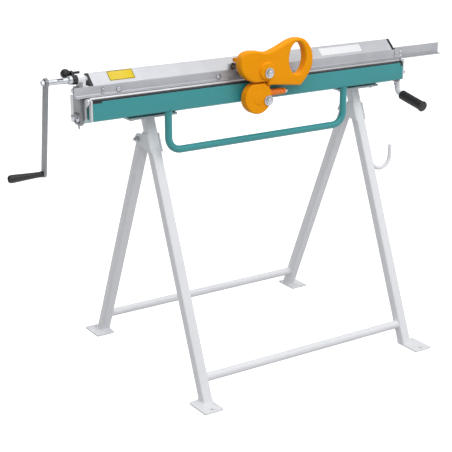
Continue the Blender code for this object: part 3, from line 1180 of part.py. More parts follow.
def build_carriage():
    """Bar behind the rollers with guide shoes over the rail, hinge barrels, pin and roller screws."""
    left, right = BARREL_LEFT, BARREL_RIGHT
    inner_left, inner_right = left + BARREL_LENGTH, right - BARREL_LENGTH
    tail_high = CARRIAGE_LOW + CARRIAGE_TAIL
    outline = [(CARRIAGE_LEFT, CARRIAGE_LOW), (right, CARRIAGE_LOW), (right, TIP_HEIGHT),
               (inner_right, TIP_HEIGHT), (inner_right, CARRIAGE_HIGH), (inner_left, CARRIAGE_HIGH),
               (inner_left, TIP_HEIGHT), (left, TIP_HEIGHT), (left, tail_high), (CARRIAGE_LEFT, tail_high)]
    bar_shape = slab(outline, CARRIAGE_FRONT - CARRIAGE_THICK, CARRIAGE_FRONT)
    bar = add_piece("carriage_bar", bar_shape, "zinc", "carriage")
    barrels = bmesh.new()
    for start in (left, inner_right):
        low = CUTTER_X + start
        rod("X", (TIP_Y, TIP_Z), BARREL_RADIUS, low, low + BARREL_LENGTH, COARSE, barrels)
    join(bar, "hinge_barrels", barrels, "carriage")
    shoes = bmesh.new()
    front, inner = RAIL_WEB_FRONT + GAP + SHOE_THICK, RAIL_WEB_FRONT + GAP
    shoe_root = CARRIAGE_FRONT - CARRIAGE_THICK / 2
    shoe_step = CARRIAGE_LOW + GAP
    shoe = section([(inner, SHOE_LOW), (inner, shoe_step), (shoe_root, shoe_step), (shoe_root, SHOE_HIGH),
                    (front, SHOE_HIGH), (front, SHOE_LOW)])
    for start in (ROLLER_PLACES[0] + SHOE_INSIDE_ROLLER - SHOE_LENGTH / 2,
                  ROLLER_PLACES[1] - SHOE_INSIDE_ROLLER - SHOE_LENGTH / 2):
        prism("X", shoe, CUTTER_X + start, CUTTER_X + start + SHOE_LENGTH, shoes)
    join(bar, "guide_shoes", shoes, "carriage")
    start, stop = CUTTER_X + left - OVERRUN, CUTTER_X + right + OVERRUN
    bore = rod("X", (TIP_Y, TIP_Z), TIP_PIN_RADIUS + GAP, start, stop, COARSE)
    cut(bar, "barrel_bores", bore, "carriage")
    pin = rod("X", (TIP_Y, TIP_Z), TIP_PIN_RADIUS, CUTTER_X + LUG_LEFT, CUTTER_X + LUG_RIGHT, COARSE)
    add_piece("tip_pin", pin, "zinc", "carriage")
    screws = bmesh.new()
    for place in ROLLER_PLACES:
        root, head = depth(CARRIAGE_FRONT - CARRIAGE_THICK / 2), depth(ROLLER_FRONT + RUN)
        face = head - ROLLER_HEAD_THICK
        profile = [(0.0, root), (ROLLER_SCREW, root), (ROLLER_SCREW, head), (ROLLER_HEAD, head),
                   (ROLLER_HEAD, face), (0.0, face)]
        turned("Y", cutter(place, ROLLER_ABOVE), profile, COARSE, screws)
    join(bar, "roller_screws", screws, "carriage")


def build_roller(name, body, place):
    """A guide roller: its tread runs on the rail's edge and its flange hangs in front."""
    rear, front = depth(ROLLER_REAR), depth(ROLLER_FRONT)
    bore = ROLLER_SCREW + GAP
    step = front + ROLLER_FLANGE
    profile = [(bore, rear), (ROLLER_TREAD, rear), (ROLLER_TREAD, step), (ROLLER_RADIUS, step),
               (ROLLER_RADIUS, front), (bore, front), (bore, rear)]
    add_piece(name, turned("Y", cutter(place, ROLLER_ABOVE), profile, FINE), "black", body)


def build_cutter():
    """The rolling cutter, which slides along the rail and tips up about its pin."""
    build_carriage()
    build_roller("left_guide_roller", "left_roller", ROLLER_PLACES[0])
    build_roller("right_guide_roller", "right_roller", ROLLER_PLACES[1])
    build_cutter_body()
    build_lower_housing()
    build_cutter_bolts()
    build_tension_knob()
    build_axle("upper_wheel_axle", UPPER_WHEEL_AT, UPPER_WHEEL_FRONT)
    build_axle("lower_wheel_axle", LOWER_WHEEL_AT, LOWER_WHEEL_FRONT)
    build_wheel("upper_cutting_wheel", "upper_wheel", UPPER_WHEEL_AT, UPPER_WHEEL_FRONT, UPPER_WHEEL_RADIUS)
    build_wheel("lower_cutting_wheel", "lower_wheel", LOWER_WHEEL_AT, LOWER_WHEEL_FRONT, LOWER_WHEEL_RADIUS)


def add_bodies():
    """An empty on the axis of every joint."""
    roller_y = depth(ROLLER_REAR)
    add_body("stand")
    add_body("rear_frame", "stand", (0.0, PIVOT_Y, PIVOT_Z))
    add_body("apron", "stand", (0.0, BEND_Y, BED_TOP))
    add_body("clamp_beam", "stand")
    add_body("clamp_shaft", "stand", (0.0, SHAFT_Y, SHAFT_Z))
    add_body("carriage", "clamp_beam", (CUTTER_X, TIP_Y, TIP_Z))
    add_body("left_roller", "carriage", (CUTTER_X + ROLLER_PLACES[0], roller_y, BED_TOP + ROLLER_ABOVE))
    add_body("right_roller", "carriage", (CUTTER_X + ROLLER_PLACES[1], roller_y, BED_TOP + ROLLER_ABOVE))
    add_body("cutter_head", "carriage", (CUTTER_X, TIP_Y, TIP_Z))
    upper, lower = cutter(*UPPER_WHEEL_AT), cutter(*LOWER_WHEEL_AT)
    add_body("upper_wheel", "cutter_head", (upper[0], depth(UPPER_WHEEL_FRONT), upper[1]))
    add_body("lower_wheel", "cutter_head", (lower[0], depth(LOWER_WHEEL_FRONT), lower[1]))
    add_body("crank", "clamp_beam", (CRANK_RIGHT, MANDREL_Y, MANDREL_Z))
    add_body("crank_handle", "crank", (CRANK_LEFT, *CRANK_FOOT))
    add_body("lock_knob", "clamp_beam", (KNOB_X, *KNOB_AXIS))


def main():
    """Builds the whole tool."""
    clear_scene()
    mix_paints()
    add_bodies()
    build_stand()
    build_rear_frame()
    build_bed()
    build_bed_ends()
    build_apron()
    build_clamp_beam()
    build_clamp_shaft()
    build_cutter()
    build_crank()
    build_lock_knob()


main()
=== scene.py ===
"""Looks of a portable sheet metal folding brake on its folding stand.

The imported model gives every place. The classes below rebuild each sub-assembly's visible pieces with the
roundings, welds, threads, screws and castings of the real tool, and give every piece its finish.
Metres, +Z up, +X along the bed towards the clamp lever, -Y towards the person who folds.
"""

import json
import logging
import math
from dataclasses import dataclass, field
from enum import Enum

import bmesh
import bpy
from mathutils import Matrix, Vector


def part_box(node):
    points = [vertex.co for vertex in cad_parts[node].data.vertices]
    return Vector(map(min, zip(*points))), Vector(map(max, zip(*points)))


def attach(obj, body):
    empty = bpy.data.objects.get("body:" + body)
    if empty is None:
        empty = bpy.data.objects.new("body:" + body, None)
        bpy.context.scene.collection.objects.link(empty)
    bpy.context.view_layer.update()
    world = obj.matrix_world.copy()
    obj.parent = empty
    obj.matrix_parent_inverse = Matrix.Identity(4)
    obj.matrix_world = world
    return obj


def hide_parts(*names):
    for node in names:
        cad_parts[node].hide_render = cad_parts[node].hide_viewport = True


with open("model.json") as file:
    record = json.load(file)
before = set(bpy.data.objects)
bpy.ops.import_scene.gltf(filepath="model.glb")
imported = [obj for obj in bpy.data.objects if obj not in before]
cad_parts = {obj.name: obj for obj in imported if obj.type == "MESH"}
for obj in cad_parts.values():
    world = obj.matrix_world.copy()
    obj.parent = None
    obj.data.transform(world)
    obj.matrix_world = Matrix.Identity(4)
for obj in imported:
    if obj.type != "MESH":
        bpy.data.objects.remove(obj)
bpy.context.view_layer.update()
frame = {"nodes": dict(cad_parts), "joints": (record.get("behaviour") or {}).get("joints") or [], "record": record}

LOG = logging.getLogger("sheet_metal_brake")

MM = 0.001
GAP = 0.3 * MM       # between touching pieces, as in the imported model
RUN = 0.6 * MM       # between pieces that move past each other
SHARP = 0.3 * MM     # rounding of a machined edge
CHAMFER = 1 * MM     # depth of a turned chamfer
FINE = 64            # sides of a large round piece
MEDIUM = 32
DOME_SHARE = 0.7     # height of a bar's round end in radii
DOME_TURNS = (30.0, 60.0, 82.0)
FINE_PITCH = 1.2 * MM
THREAD_TIP = 1.5 * MM
THROW = 6 * MM       # of the eccentric discs, seen from the shaft's axis
THROW_START = math.radians(-40.0)
DISC_RADIUS = 12.5 * MM

Point = tuple[float, float]
Pair = tuple[float, float]
Triple = tuple[float, float, float]
Outline = list[Point]
Table = tuple[Point, ...]    # radii and distances in millimetres


class Slot(Enum):
    """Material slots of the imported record."""

    WHITE = "white_paint"
    GREEN = "green_paint"
    ORANGE = "orange_paint"
    ALUMINIUM = "aluminium"
    ZINC = "zinc_steel"
    BRIGHT = "bright_steel"
    BLUED = "blued_steel"
    BLACK = "black_plastic"


class Axis(Enum):
    """Direction in which an outline is stretched or a profile is turned."""

    X = 0
    Y = 1
    Z = 2

    def place(self, along: float, across: Point) -> Vector:
        """Returns the point at a place along the axis and at the two other coordinates.

        Args:
            along: Coordinate along the axis.
            across: The two other coordinates, in X, Y, Z order.

        Returns:
            The point.
        """
        values = list(across)
        values.insert(self.value, along)
        return Vector(values)


# Outlines and paths


def arc(centre: Point, radius: float, start: float, end: float, steps: int) -> Outline:
    """Returns points on an arc.

    Args:
        centre: Middle of the arc.
        radius: Its radius.
        start: First angle in degrees, from the first coordinate towards the second.
        end: Last angle in degrees.
        steps: How many chords it has.

    Returns:
        The points, both ends included.
    """
    angles = [math.radians(start + (end - start) * i / steps) for i in range(steps + 1)]
    return [(centre[0] + radius * math.cos(a), centre[1] + radius * math.sin(a)) for a in angles]


def circle(centre: Point, radius: float, sides: int = MEDIUM) -> Outline:
    """Returns a closed round outline."""
    return arc(centre, radius, 0.0, 360.0, sides)[:-1]


def rectangle(low: Point, high: Point) -> Outline:
    """Returns a closed rectangular outline between two corners."""
    return [(low[0], low[1]), (high[0], low[1]), (high[0], high[1]), (low[0], high[1])]


def soften(points: list, radius: float, steps: int = 4, closed: bool = True) -> list:
    """Rounds the corners of an outline or of a path.

    Args:
        points: The corners, in two or three coordinates.
        radius: Radius of each corner, made smaller where an edge is short.
        steps: Chords per corner.
        closed: True for an outline, False for a path whose ends stay.

    Returns:
        The rounded points, as tuples.
    """
    corners = [Vector(point) for point in points]
    count = len(corners)
    result = []
    for i, here in enumerate(corners):
        if not closed and i in (0, count - 1):
            result.append(tuple(here))
            continue
        before, after = corners[i - 1] - here, corners[(i + 1) % count] - here
        back, ahead = before.normalized(), after.normalized()
        half = back.angle(ahead) / 2
        if half > math.radians(88.0) or radius <= 0.0:
            result.append(tuple(here))
            continue
        reach = min(radius / math.tan(half), before.length * 0.48, after.length * 0.48)
        middle = here + (back + ahead).normalized() * (reach / math.cos(half))
        start, end = here + back * reach - middle, here + ahead * reach - middle
        turn = start.angle(end)
        for step in range(steps + 1):
            share = step / steps
            weights = math.sin((1 - share) * turn), math.sin(share * turn)
            result.append(tuple(middle + (start * weights[0] + end * weights[1]) / math.sin(turn)))
    return result


def flowing(points: Outline, steps: int = 5) -> Outline:
    """Returns a smooth open line through points, by Catmull and Rom's rule.

    Args:
        points: The points that the line passes.
        steps: Chords between two of them.

    Returns:
        The line's points, both ends included.
    """
    line = []
    for i in range(len(points) - 1):
        p = [Vector(points[min(max(k, 0), len(points) - 1)]) for k in (i - 1, i, i + 1, i + 2)]
        for step in range(steps):
            t = step / steps
            line.append(tuple((p[1] * 2 + (p[2] - p[0]) * t + (p[0] * 2 - p[1] * 5 + p[2] * 4 - p[3]) * t * t
                               + (p[1] * 3 - p[0] - p[2] * 3 + p[3]) * t ** 3) / 2))
    return line + [tuple(points[-1])]


def inset(outline: Outline, wall: float) -> Outline:
    """Returns an anticlockwise outline moved inwards by a wall, corner by corner."""
    inner = []
    count = len(outline)
    for i in range(count):
        before, here, after = (Vector(outline[k % count]) for k in (i - 1, i, i + 1))
        first, second = (here - before).normalized(), (after - here).normalized()
        normal, other = Vector((-first.y, first.x)), Vector((-second.y, second.x))
        inner.append(tuple(here + (normal + other) * (wall / (1.0 + normal.dot(other)))))
    return inner


def stations(table: Table, start: float, sign: int = 1) -> Outline:
    """Returns a profile from a table.

    Args:
        table: Radii and distances, in millimetres.
        start: Place that the distances are measured from.
        sign: 1 to measure upwards along the axis, -1 to measure downwards.

    Returns:
        The profile, as (radius, place) pairs.
    """
    return [(radius * MM, start + sign * distance * MM) for radius, distance in table]


def sleeve(bore: float, radius: float, low: float, high: float, near: float = 0.0,
           far: float = 0.0) -> Outline:
    """Returns the profile of a sleeve, a ring that ends where it starts.

    Args:
        bore: Its inner radius.
        radius: Its outer radius.
        low: Its near face.
        high: Its far face.
        near: Length of the outer chamfer at the near face, 0 for none.
        far: Length of the outer chamfer at the far face, 0 for none.

    Returns:
        The profile, as (radius, place) pairs.
    """
    profile = [(bore, low), (radius, low + near), (radius, high - far), (bore, high), (bore, low)]
    if far:
        profile.insert(3, (radius - CHAMFER, high))
    if near:
        profile.insert(1, (radius - CHAMFER, low))
    return profile


# Shapes


def to_mesh(shape: bmesh.types.BMesh) -> bpy.types.Mesh:
    """Turns a bmesh into a mesh with its faces outwards and frees it."""
    bmesh.ops.recalc_face_normals(shape, faces=shape.faces)
    mesh = bpy.data.meshes.new("shape")
    shape.to_mesh(mesh)
    shape.free()
    return mesh


def merge(*meshes: bpy.types.Mesh) -> bpy.types.Mesh:
    """Returns one mesh that holds all the given ones, which are removed."""
    shape = bmesh.new()
    for mesh in meshes:
        shape.from_mesh(mesh)
        bpy.data.meshes.remove(mesh)
    joined = bpy.data.meshes.new("shape")
    shape.to_mesh(joined)
    shape.free()
    return joined


def skin(shape: bmesh.types.BMesh, rings: list, closed: bool = False) -> bpy.types.Mesh:
    """Joins rings of as many corners each into a mesh.

    Args:
        shape: The bmesh that holds the corners.
        rings: The corners, ring by ring.
        closed: True to join the last ring to the first, False to cap both ends.

    Returns:
        The mesh.
    """
    for ring, following in zip(rings, rings[1:] + rings[:1] if closed else rings[1:]):
        for i in range(len(ring)):
            j = (i + 1) % len(ring)
            shape.faces.new((ring[i], ring[j], following[j], following[i]))
    if not closed:
        shape.faces.new(rings[0])
        shape.faces.new(rings[-1])
    return to_mesh(shape)


def tube(axis: Axis, rings: list[tuple[Outline, float]], closed: bool = False) -> bpy.types.Mesh:
    """Skins outlines of as many points each, one after another.

    Args:
        axis: Direction that the places lie on.
        rings: Each outline with its place along the axis.
        closed: True to join the last ring to the first, False to cap both ends.

    Returns:
        The mesh.
    """
    shape = bmesh.new()
    made = [[shape.verts.new(axis.place(place, point)) for point in outline] for outline, place in rings]
    return skin(shape, made, closed)


def hollow(axis: Axis, outer: Outline, inner: Outline, low: float, high: float) -> bpy.types.Mesh:
    """Returns a tube between two outlines, open at both ends."""
    return tube(axis, [(outer, low), (outer, high), (inner, high), (inner, low)], closed=True)


def plate(axis: Axis, outlines: list[Outline], low: float, high: float, bevel: float = 0.5 * MM,
          steps: int = 2) -> bpy.types.Mesh:
    """Makes a flat plate with holes and rounded edges.

    Args:
        axis: Direction of its thickness.
        outlines: The outer outline, then the holes.
        low: Its lower face.
        high: Its upper face.
        bevel: Radius of all its edges.
        steps: Chords of each edge.

    Returns:
        The mesh.
    """
    curve = bpy.data.curves.new("plate", "CURVE")
    curve.dimensions = "2D"
    curve.fill_mode = "BOTH"
    curve.extrude = (high - low) / 2 - bevel
    curve.bevel_depth = bevel
    curve.bevel_resolution = steps
    curve.offset = -bevel
    for outline in outlines:
        spline = curve.splines.new("POLY")
        spline.points.add(len(outline) - 1)
        spline.use_cyclic_u = True
        for point, (u, v) in zip(spline.points, outline):
            point.co = (u, v, 0.0, 1.0)
    holder = bpy.data.objects.new("plate", curve)
    flat = bpy.data.meshes.new_from_object(holder)
    bpy.data.objects.remove(holder)
    bpy.data.curves.remove(curve)
    shape = bmesh.new()
    shape.from_mesh(flat)
    bpy.data.meshes.remove(flat)
    bmesh.ops.remove_doubles(shape, verts=shape.verts, dist=bevel / 100)
    middle = (low + high) / 2
    for vertex in shape.verts:
        u, v, w = vertex.co
        vertex.co = axis.place(middle + w, (u, v))
    return to_mesh(shape)


def turned(axis: Axis, centre: Point, profile: Outline, sides: int = MEDIUM, bevel: float = 0.4 * MM,
           steps: int = 2) -> bpy.types.Mesh:
    """Spins a profile into a solid.

    Args:
        axis: Direction of the axis.
        centre: Where the axis is, in the two other coordinates.
        profile: (radius, place) pairs, from the axis back to the axis, or a ring that ends where it starts.
        sides: Sides of the solid.
        bevel: Radius of the profile's corners.
        steps: Chords of each corner.

    Returns:
        The mesh.
    """
    ring = profile[0] == profile[-1]
    if ring:
        line = soften(profile[:-1], bevel, steps)
        line.append(line[0])
    else:
        line = soften(profile, bevel, steps, closed=False)
    shape = bmesh.new()
    middle, spine = axis.place(0.0, centre), axis.place(1.0, (0.0, 0.0))
    spoke = axis.place(0.0, (1.0, 0.0))
    points = [shape.verts.new(middle + spine * place + spoke * radius) for radius, place in line]
    edges = [shape.edges.new(pair) for pair in zip(points, points[1:])]
    bmesh.ops.spin(shape, geom=points + edges, cent=middle, axis=spine, angle=math.tau, steps=sides,
                   use_merge=True)
    bmesh.ops.remove_doubles(shape, verts=shape.verts, dist=MM / 1000)
    return to_mesh(shape)


def swept(path: list, radius: float, sides: int = MEDIUM, closed: bool = False, ripple: float = 0.0,
          dome: bool = False) -> bpy.types.Mesh:
    """Draws a round bar or a weld bead along a path.

    Args:
        path: Points in three coordinates.
        radius: The bar's radius.
        sides: Its sides.
        closed: True if the path is a loop.
        ripple: Share of the radius by which every other ring is thinner, as on a weld.
        dome: True to round the bar's far end.

    Returns:
        The mesh.
    """
    points = [Vector(point) for point in path]
    count = len(points)
    shape = bmesh.new()
    rings = []
    normal = None
    for i, point in enumerate(points):
        if closed:
            ahead = (points[(i + 1) % count] - points[i - 1]).normalized()
        else:
            ahead = (points[min(i + 1, count - 1)] - points[max(i - 1, 0)]).normalized()
        if normal is None:
            normal = ahead.orthogonal().normalized()
        normal = (normal - ahead * normal.dot(ahead)).normalized()
        other = ahead.cross(normal)
        size = radius * (1.0 - ripple * (i % 2))
        rings.append([shape.verts.new(point + (normal * a + other * b) * size)
                      for a, b in circle((0.0, 0.0), 1.0, sides)])
        if dome and i == count - 1:
            for turn in DOME_TURNS:
                lift, shrink = math.sin(math.radians(turn)), math.cos(math.radians(turn))
                rings.append([shape.verts.new(point + ahead * radius * lift * DOME_SHARE
                                              + (normal * a + other * b) * radius * shrink)
                              for a, b in circle((0.0, 0.0), 1.0, sides)])
    return skin(shape, rings, closed)


def weld(path: list, radius: float, pitch: float = 2.2 * MM, closed: bool = True) -> bpy.types.Mesh:
    """Lays a rippled weld bead along a path.

    Args:
        path: The corners that the bead follows.
        radius: The bead's radius.
        pitch: Distance between two ripples.
        closed: True if it runs all round.

    Returns:
        The mesh.
    """
    corners = [Vector(point) for point in path]
    stops = corners + corners[:1] if closed else corners
    line = []
    for start, end in zip(stops, stops[1:]):
        steps = max(1, round((end - start).length / (pitch / 2)))
        line += [start.lerp(end, i / steps) for i in range(steps)]
    if not closed:
        line.append(stops[-1])
    return swept(line, radius, 8, closed, ripple=0.2)


def hexagon_head(axis: Axis, centre: Point, across: float, low: float, high: float) -> bpy.types.Mesh:
    """Makes a hexagonal nut or bolt head whose outer face is chamfered round.

    Args:
        axis: Direction of the bolt.
        centre: Where the bolt is, in the two other coordinates.
        across: Half its width over two flats.
        low: Its plain face.
        high: Its chamfered face, which may lie below the plain one.

    Returns:
        The mesh.
    """
    sides, face_share, slope = 36, 0.95, 0.5
    angles = [math.tau * i / sides for i in range(sides)]
    reach = [across / math.cos((a % (math.pi / 3)) - math.pi / 6) for a in angles]
    sign = 1.0 if high > low else -1.0
    flat = across * face_share
    shape = bmesh.new()

    def ring(radii: list[float], places: list[float]) -> list:
        """Returns one ring of corners."""
        return [shape.verts.new(axis.place(z, (centre[0] + r * math.cos(a), centre[1] + r * math.sin(a))))
                for a, r, z in zip(angles, radii, places)]

    drop = [sign * (r - flat) * slope for r in reach]
    rings = [ring(reach, [low] * sides), ring(reach, [high - d for d in drop]),
             ring([flat] * sides, [high] * sides)]
    return skin(shape, rings)


def thread(axis: Axis, centre: Point, radius: float, low: float, high: float, pitch: float = 1.5 * MM,
           tip: float = 0.0) -> bpy.types.Mesh:
    """Makes a threaded end.

    Args:
        axis: Direction of the screw.
        centre: Where the screw is, in the two other coordinates.
        radius: Its outer radius.
        low: Where the thread starts.
        high: Where it ends, which may be below.
        pitch: Distance between two crests.
        tip: Length of the cone beyond the thread.

    Returns:
        The mesh.
    """
    sign = 1.0 if high > low else -1.0
    count = max(1, round(abs(high - low) / pitch))
    step = (high - low) / count
    root = radius - pitch * 0.5
    profile = [(0.0, low)]
    for i in range(count):
        profile += [(root, low + i * step), (radius, low + (i + 0.5) * step)]
    profile += [(root, high), (radius * 0.3 if tip else root * 0.8, high + sign * (tip or pitch / 3))]
    profile.append((0.0, profile[-1][1]))
    return turned(axis, centre, profile, 24, 0.0)


def rod(axis: Axis, centre: Point, radius: float, low: float, high: float, sides: int = MEDIUM,
        bevel: float = 0.0, steps: int = 2) -> bpy.types.Mesh:
    """Makes a round bar or disc.

    Args:
        axis: Direction of its axis.
        centre: Where the axis is, in the two other coordinates.
        radius: Its radius.
        low: Its near face.
        high: Its far face.
        sides: Its sides.
        bevel: Radius of its edges.
        steps: Chords of each edge.

    Returns:
        The mesh.
    """
    return turned(axis, centre, [(0.0, low), (radius, low), (radius, high), (0.0, high)], sides, bevel, steps)


def washer(axis: Axis, centre: Point, radius: float, low: float, high: float) -> bpy.types.Mesh:
    """Makes a washer without its hidden bore."""
    return rod(axis, centre, radius, *sorted((low, high)), 40, SHARP)


def socket_screw(axis: Axis, centre: Point, radius: float, low: float, high: float) -> bpy.types.Mesh:
    """Makes a round screw head with a hexagonal socket in its outer face.

    Args:
        axis: Direction of the screw.
        centre: Where the screw is, in the two other coordinates.
        radius: The head's radius.
        low: Its inner face.
        high: Its outer face, which may lie below the inner one.

    Returns:
        The mesh.
    """
    socket_share, floor_share, lap_share, edge_share = 0.5, 0.35, 0.1, 0.22
    floor = low + (high - low) * floor_share
    start, end = sorted((floor, high))
    outlines = [circle(centre, radius), circle(centre, radius * socket_share, 6)]
    rim = plate(axis, outlines, start, end, min(radius, end - start) * edge_share)
    base = sorted((low, floor + (high - floor) * lap_share))
    return merge(rim, rod(axis, centre, radius, *base))


# Finishes


class Graph:
    """A node tree that is written node by node."""

    def __init__(self, tree: bpy.types.NodeTree) -> None:
        """Keeps the tree."""
        self.tree = tree

    def add(self, kind: str, **values: object) -> bpy.types.Node:
        """Adds a node.

        Args:
            kind: Blender's name of the node's type.
            **values: Properties of the node, or values of its inputs, with _ for a space in their names.

        Returns:
            The node.
        """
        node = self.tree.nodes.new(kind)
        inputs = {}
        for name, value in values.items():
            if hasattr(node, name):
                setattr(node, name, value)
            else:
                inputs[name.replace("_", " ")] = value
        for name, value in inputs.items():
            self.feed(node.inputs[name], value)
        return node

    def feed(self, socket: bpy.types.NodeSocket, value: object) -> None:
        """Links a socket to an output, or gives it a constant."""
        if isinstance(value, bpy.types.NodeSocket):
            self.tree.links.new(value, socket)
        else:
            socket.default_value = value

    def sums(self, operation: str, *values: object) -> bpy.types.NodeSocket:
        """Returns the result of a Math node."""
        node = self.tree.nodes.new("ShaderNodeMath")
        node.operation = operation
        for socket, value in zip(node.inputs, values):
            self.feed(socket, value)
        return node.outputs[0]

    def span(self, value: object, low: float, high: float, to_low: float,
             to_high: float) -> bpy.types.NodeSocket:
        """Returns a value carried from one range to another and kept inside it."""
        node = self.add("ShaderNodeMapRange", clamp=True, Value=value, From_Min=low, From_Max=high,
                        To_Min=to_low, To_Max=to_high)
        return node.outputs["Result"]

    def blend(self, share: object, first: object, second: object) -> bpy.types.NodeSocket:
        """Returns a mix of two colours."""
        node = self.add("ShaderNodeMix", data_type="RGBA")
        for place, item in ((0, share), (6, first), (7, second)):
            self.feed(node.inputs[place], item)
        return node.outputs[2]


def new_group(name: str, inputs: dict[str, object], outputs: dict[str, str]) -> tuple[Graph, object, object]:
    """Starts a shader node group.

    Args:
        name: The group's name.
        inputs: Its inputs with their usual values; a tuple makes a vector.
        outputs: Its outputs with their socket types.

    Returns:
        The graph, the group's input node and its output node.
    """
    tree = bpy.data.node_groups.new(name, "ShaderNodeTree")
    for label, value in inputs.items():
        kind = "NodeSocketVector" if isinstance(value, tuple) else "NodeSocketFloat"
        tree.interface.new_socket(label, in_out="INPUT", socket_type=kind).default_value = value
    for label, kind in outputs.items():
        tree.interface.new_socket(label, in_out="OUTPUT", socket_type=kind)
    graph = Graph(tree)
    return graph, graph.add("NodeGroupInput"), graph.add("NodeGroupOutput")


class Effects:
    """Surface effects that several finishes share, one node group each."""

    def __init__(self) -> None:
        """Builds every group once."""
        self.wear = self._wear()
        self.cloud = self._cloud()
        self.lines = self._lines()
        self.dust = self._dust()

    @staticmethod
    def _wear() -> bpy.types.NodeTree:
        """Returns the group that finds edges rubbed by use."""
        graph, given, result = new_group(
            "Edge wear", {"Amount": 0.5, "Scale": 60.0}, {"Mask": "NodeSocketFloat"})
        geometry = graph.add("ShaderNodeNewGeometry")
        place = graph.add("ShaderNodeTexCoord")
        noise = graph.add("ShaderNodeTexNoise", Vector=place.outputs["Object"], Scale=given.outputs["Scale"],
                          Detail=6.0, Roughness=0.7)
        edge = graph.span(geometry.outputs["Pointiness"], 0.52, 0.6, 0.0, 1.0)
        spots = graph.span(noise.outputs["Fac"], 0.5, 0.62, 0.0, 1.0)
        mask = graph.sums("MULTIPLY", graph.sums("MULTIPLY", edge, spots), given.outputs["Amount"])
        graph.feed(result.inputs["Mask"], mask)
        return graph.tree

    @staticmethod
    def _cloud() -> bpy.types.NodeTree:
        """Returns the group of slow variation, fine grain and small pits of a coated or cast surface."""
        graph, given, result = new_group(
            "Cloud and grain", {"Cloud Scale": 9.0, "Grain Scale": 700.0, "Pits": 0.0},
            {"Cloud": "NodeSocketFloat", "Grain": "NodeSocketFloat", "Smudge": "NodeSocketFloat"})
        place = graph.add("ShaderNodeTexCoord").outputs["Object"]
        cloud = graph.add("ShaderNodeTexNoise", Vector=place, Scale=given.outputs["Cloud Scale"], Detail=3.0)
        grain = graph.add("ShaderNodeTexNoise", Vector=place, Scale=given.outputs["Grain Scale"], Detail=2.0)
        cells = graph.add("ShaderNodeTexVoronoi", Vector=place, Scale=given.outputs["Grain Scale"])
        pits = graph.sums("MULTIPLY", graph.span(cells.outputs["Distance"], 0.0, 0.35, -1.0, 0.0),
                          given.outputs["Pits"])
        smudge_scale = graph.sums("MULTIPLY", given.outputs["Cloud Scale"], 3.7)
        smudge = graph.add("ShaderNodeTexNoise", Vector=place, Scale=smudge_scale, Detail=7.0, Roughness=0.65)
        graph.feed(result.inputs["Cloud"], graph.span(cloud.outputs["Fac"], 0.3, 0.7, 0.0, 1.0))
        graph.feed(result.inputs["Grain"], graph.sums("ADD", grain.outputs["Fac"], pits))
        graph.feed(result.inputs["Smudge"], graph.span(smudge.outputs["Fac"], 0.48, 0.72, 0.0, 1.0))
        return graph.tree

    @staticmethod
    def _lines() -> bpy.types.NodeTree:
        """Returns the group of drawn or ground lines, stretched along a direction."""
        graph, given, result = new_group(
            "Drawn lines", {"Stretch": (1.0, 60.0, 60.0), "Scale": 25.0},
            {"Lines": "NodeSocketFloat", "Scratches": "NodeSocketFloat"})
        place = graph.add("ShaderNodeTexCoord").outputs["Object"]
        wide = graph.add("ShaderNodeVectorMath", operation="MULTIPLY")
        graph.feed(wide.inputs[0], place)
        graph.feed(wide.inputs[1], given.outputs["Stretch"])
        fine = graph.add("ShaderNodeTexNoise", Vector=wide.outputs[0], Scale=given.outputs["Scale"],
                         Detail=5.0, Roughness=0.6)
        rough_scale = graph.sums("MULTIPLY", given.outputs["Scale"], 0.31)
        rough = graph.add("ShaderNodeTexNoise", Vector=wide.outputs[0], Scale=rough_scale, Detail=8.0,
                          Roughness=0.8)
        graph.feed(result.inputs["Lines"], graph.span(fine.outputs["Fac"], 0.3, 0.7, 0.0, 1.0))
        graph.feed(result.inputs["Scratches"], graph.span(rough.outputs["Fac"], 0.6, 0.68, 0.0, 1.0))
        return graph.tree

    @staticmethod
    def _dust() -> bpy.types.NodeTree:
        """Returns the group of dust that gathers near the floor, in patches."""
        graph, given, result = new_group(
            "Floor dust", {"Height": 0.12, "Amount": 0.3}, {"Mask": "NodeSocketFloat"})
        place = graph.add("ShaderNodeTexCoord").outputs["Object"]
        split = graph.add("ShaderNodeSeparateXYZ", Vector=place)
        noise = graph.add("ShaderNodeTexNoise", Vector=place, Scale=45.0, Detail=6.0)
        low = graph.sums("SUBTRACT", 1.0, graph.sums("DIVIDE", split.outputs["Z"], given.outputs["Height"]))
        low = graph.sums("MAXIMUM", low, 0.0)
        patch = graph.span(noise.outputs["Fac"], 0.4, 0.7, 0.0, 1.0)
        mask = graph.sums("MULTIPLY", graph.sums("MULTIPLY", low, patch), given.outputs["Amount"])
        graph.feed(result.inputs["Mask"], mask)
        return graph.tree


def start_material(name: str) -> tuple[bpy.types.Material, Graph, bpy.types.Node]:
    """Starts a material and returns it with its graph and its shader."""
    material = bpy.data.materials.new(name)
    material.use_nodes = True
    graph = Graph(material.node_tree)
    return material, graph, material.node_tree.nodes["Principled BSDF"]


def place_group(graph: Graph, tree: bpy.types.NodeTree, **values: object) -> bpy.types.Node:
    """Places a node group in a material with its own values."""
    node = graph.tree.nodes.new("ShaderNodeGroup")
    node.node_tree = tree
    for name, value in values.items():
        graph.feed(node.inputs[name.replace("_", " ")], value)
    return node


def colour(red: float, green: float, blue: float, gain: float = 1.0) -> tuple[float, ...]:
    """Returns a linear colour with its alpha."""
    return (min(red * gain, 1.0), min(green * gain, 1.0), min(blue * gain, 1.0), 1.0)


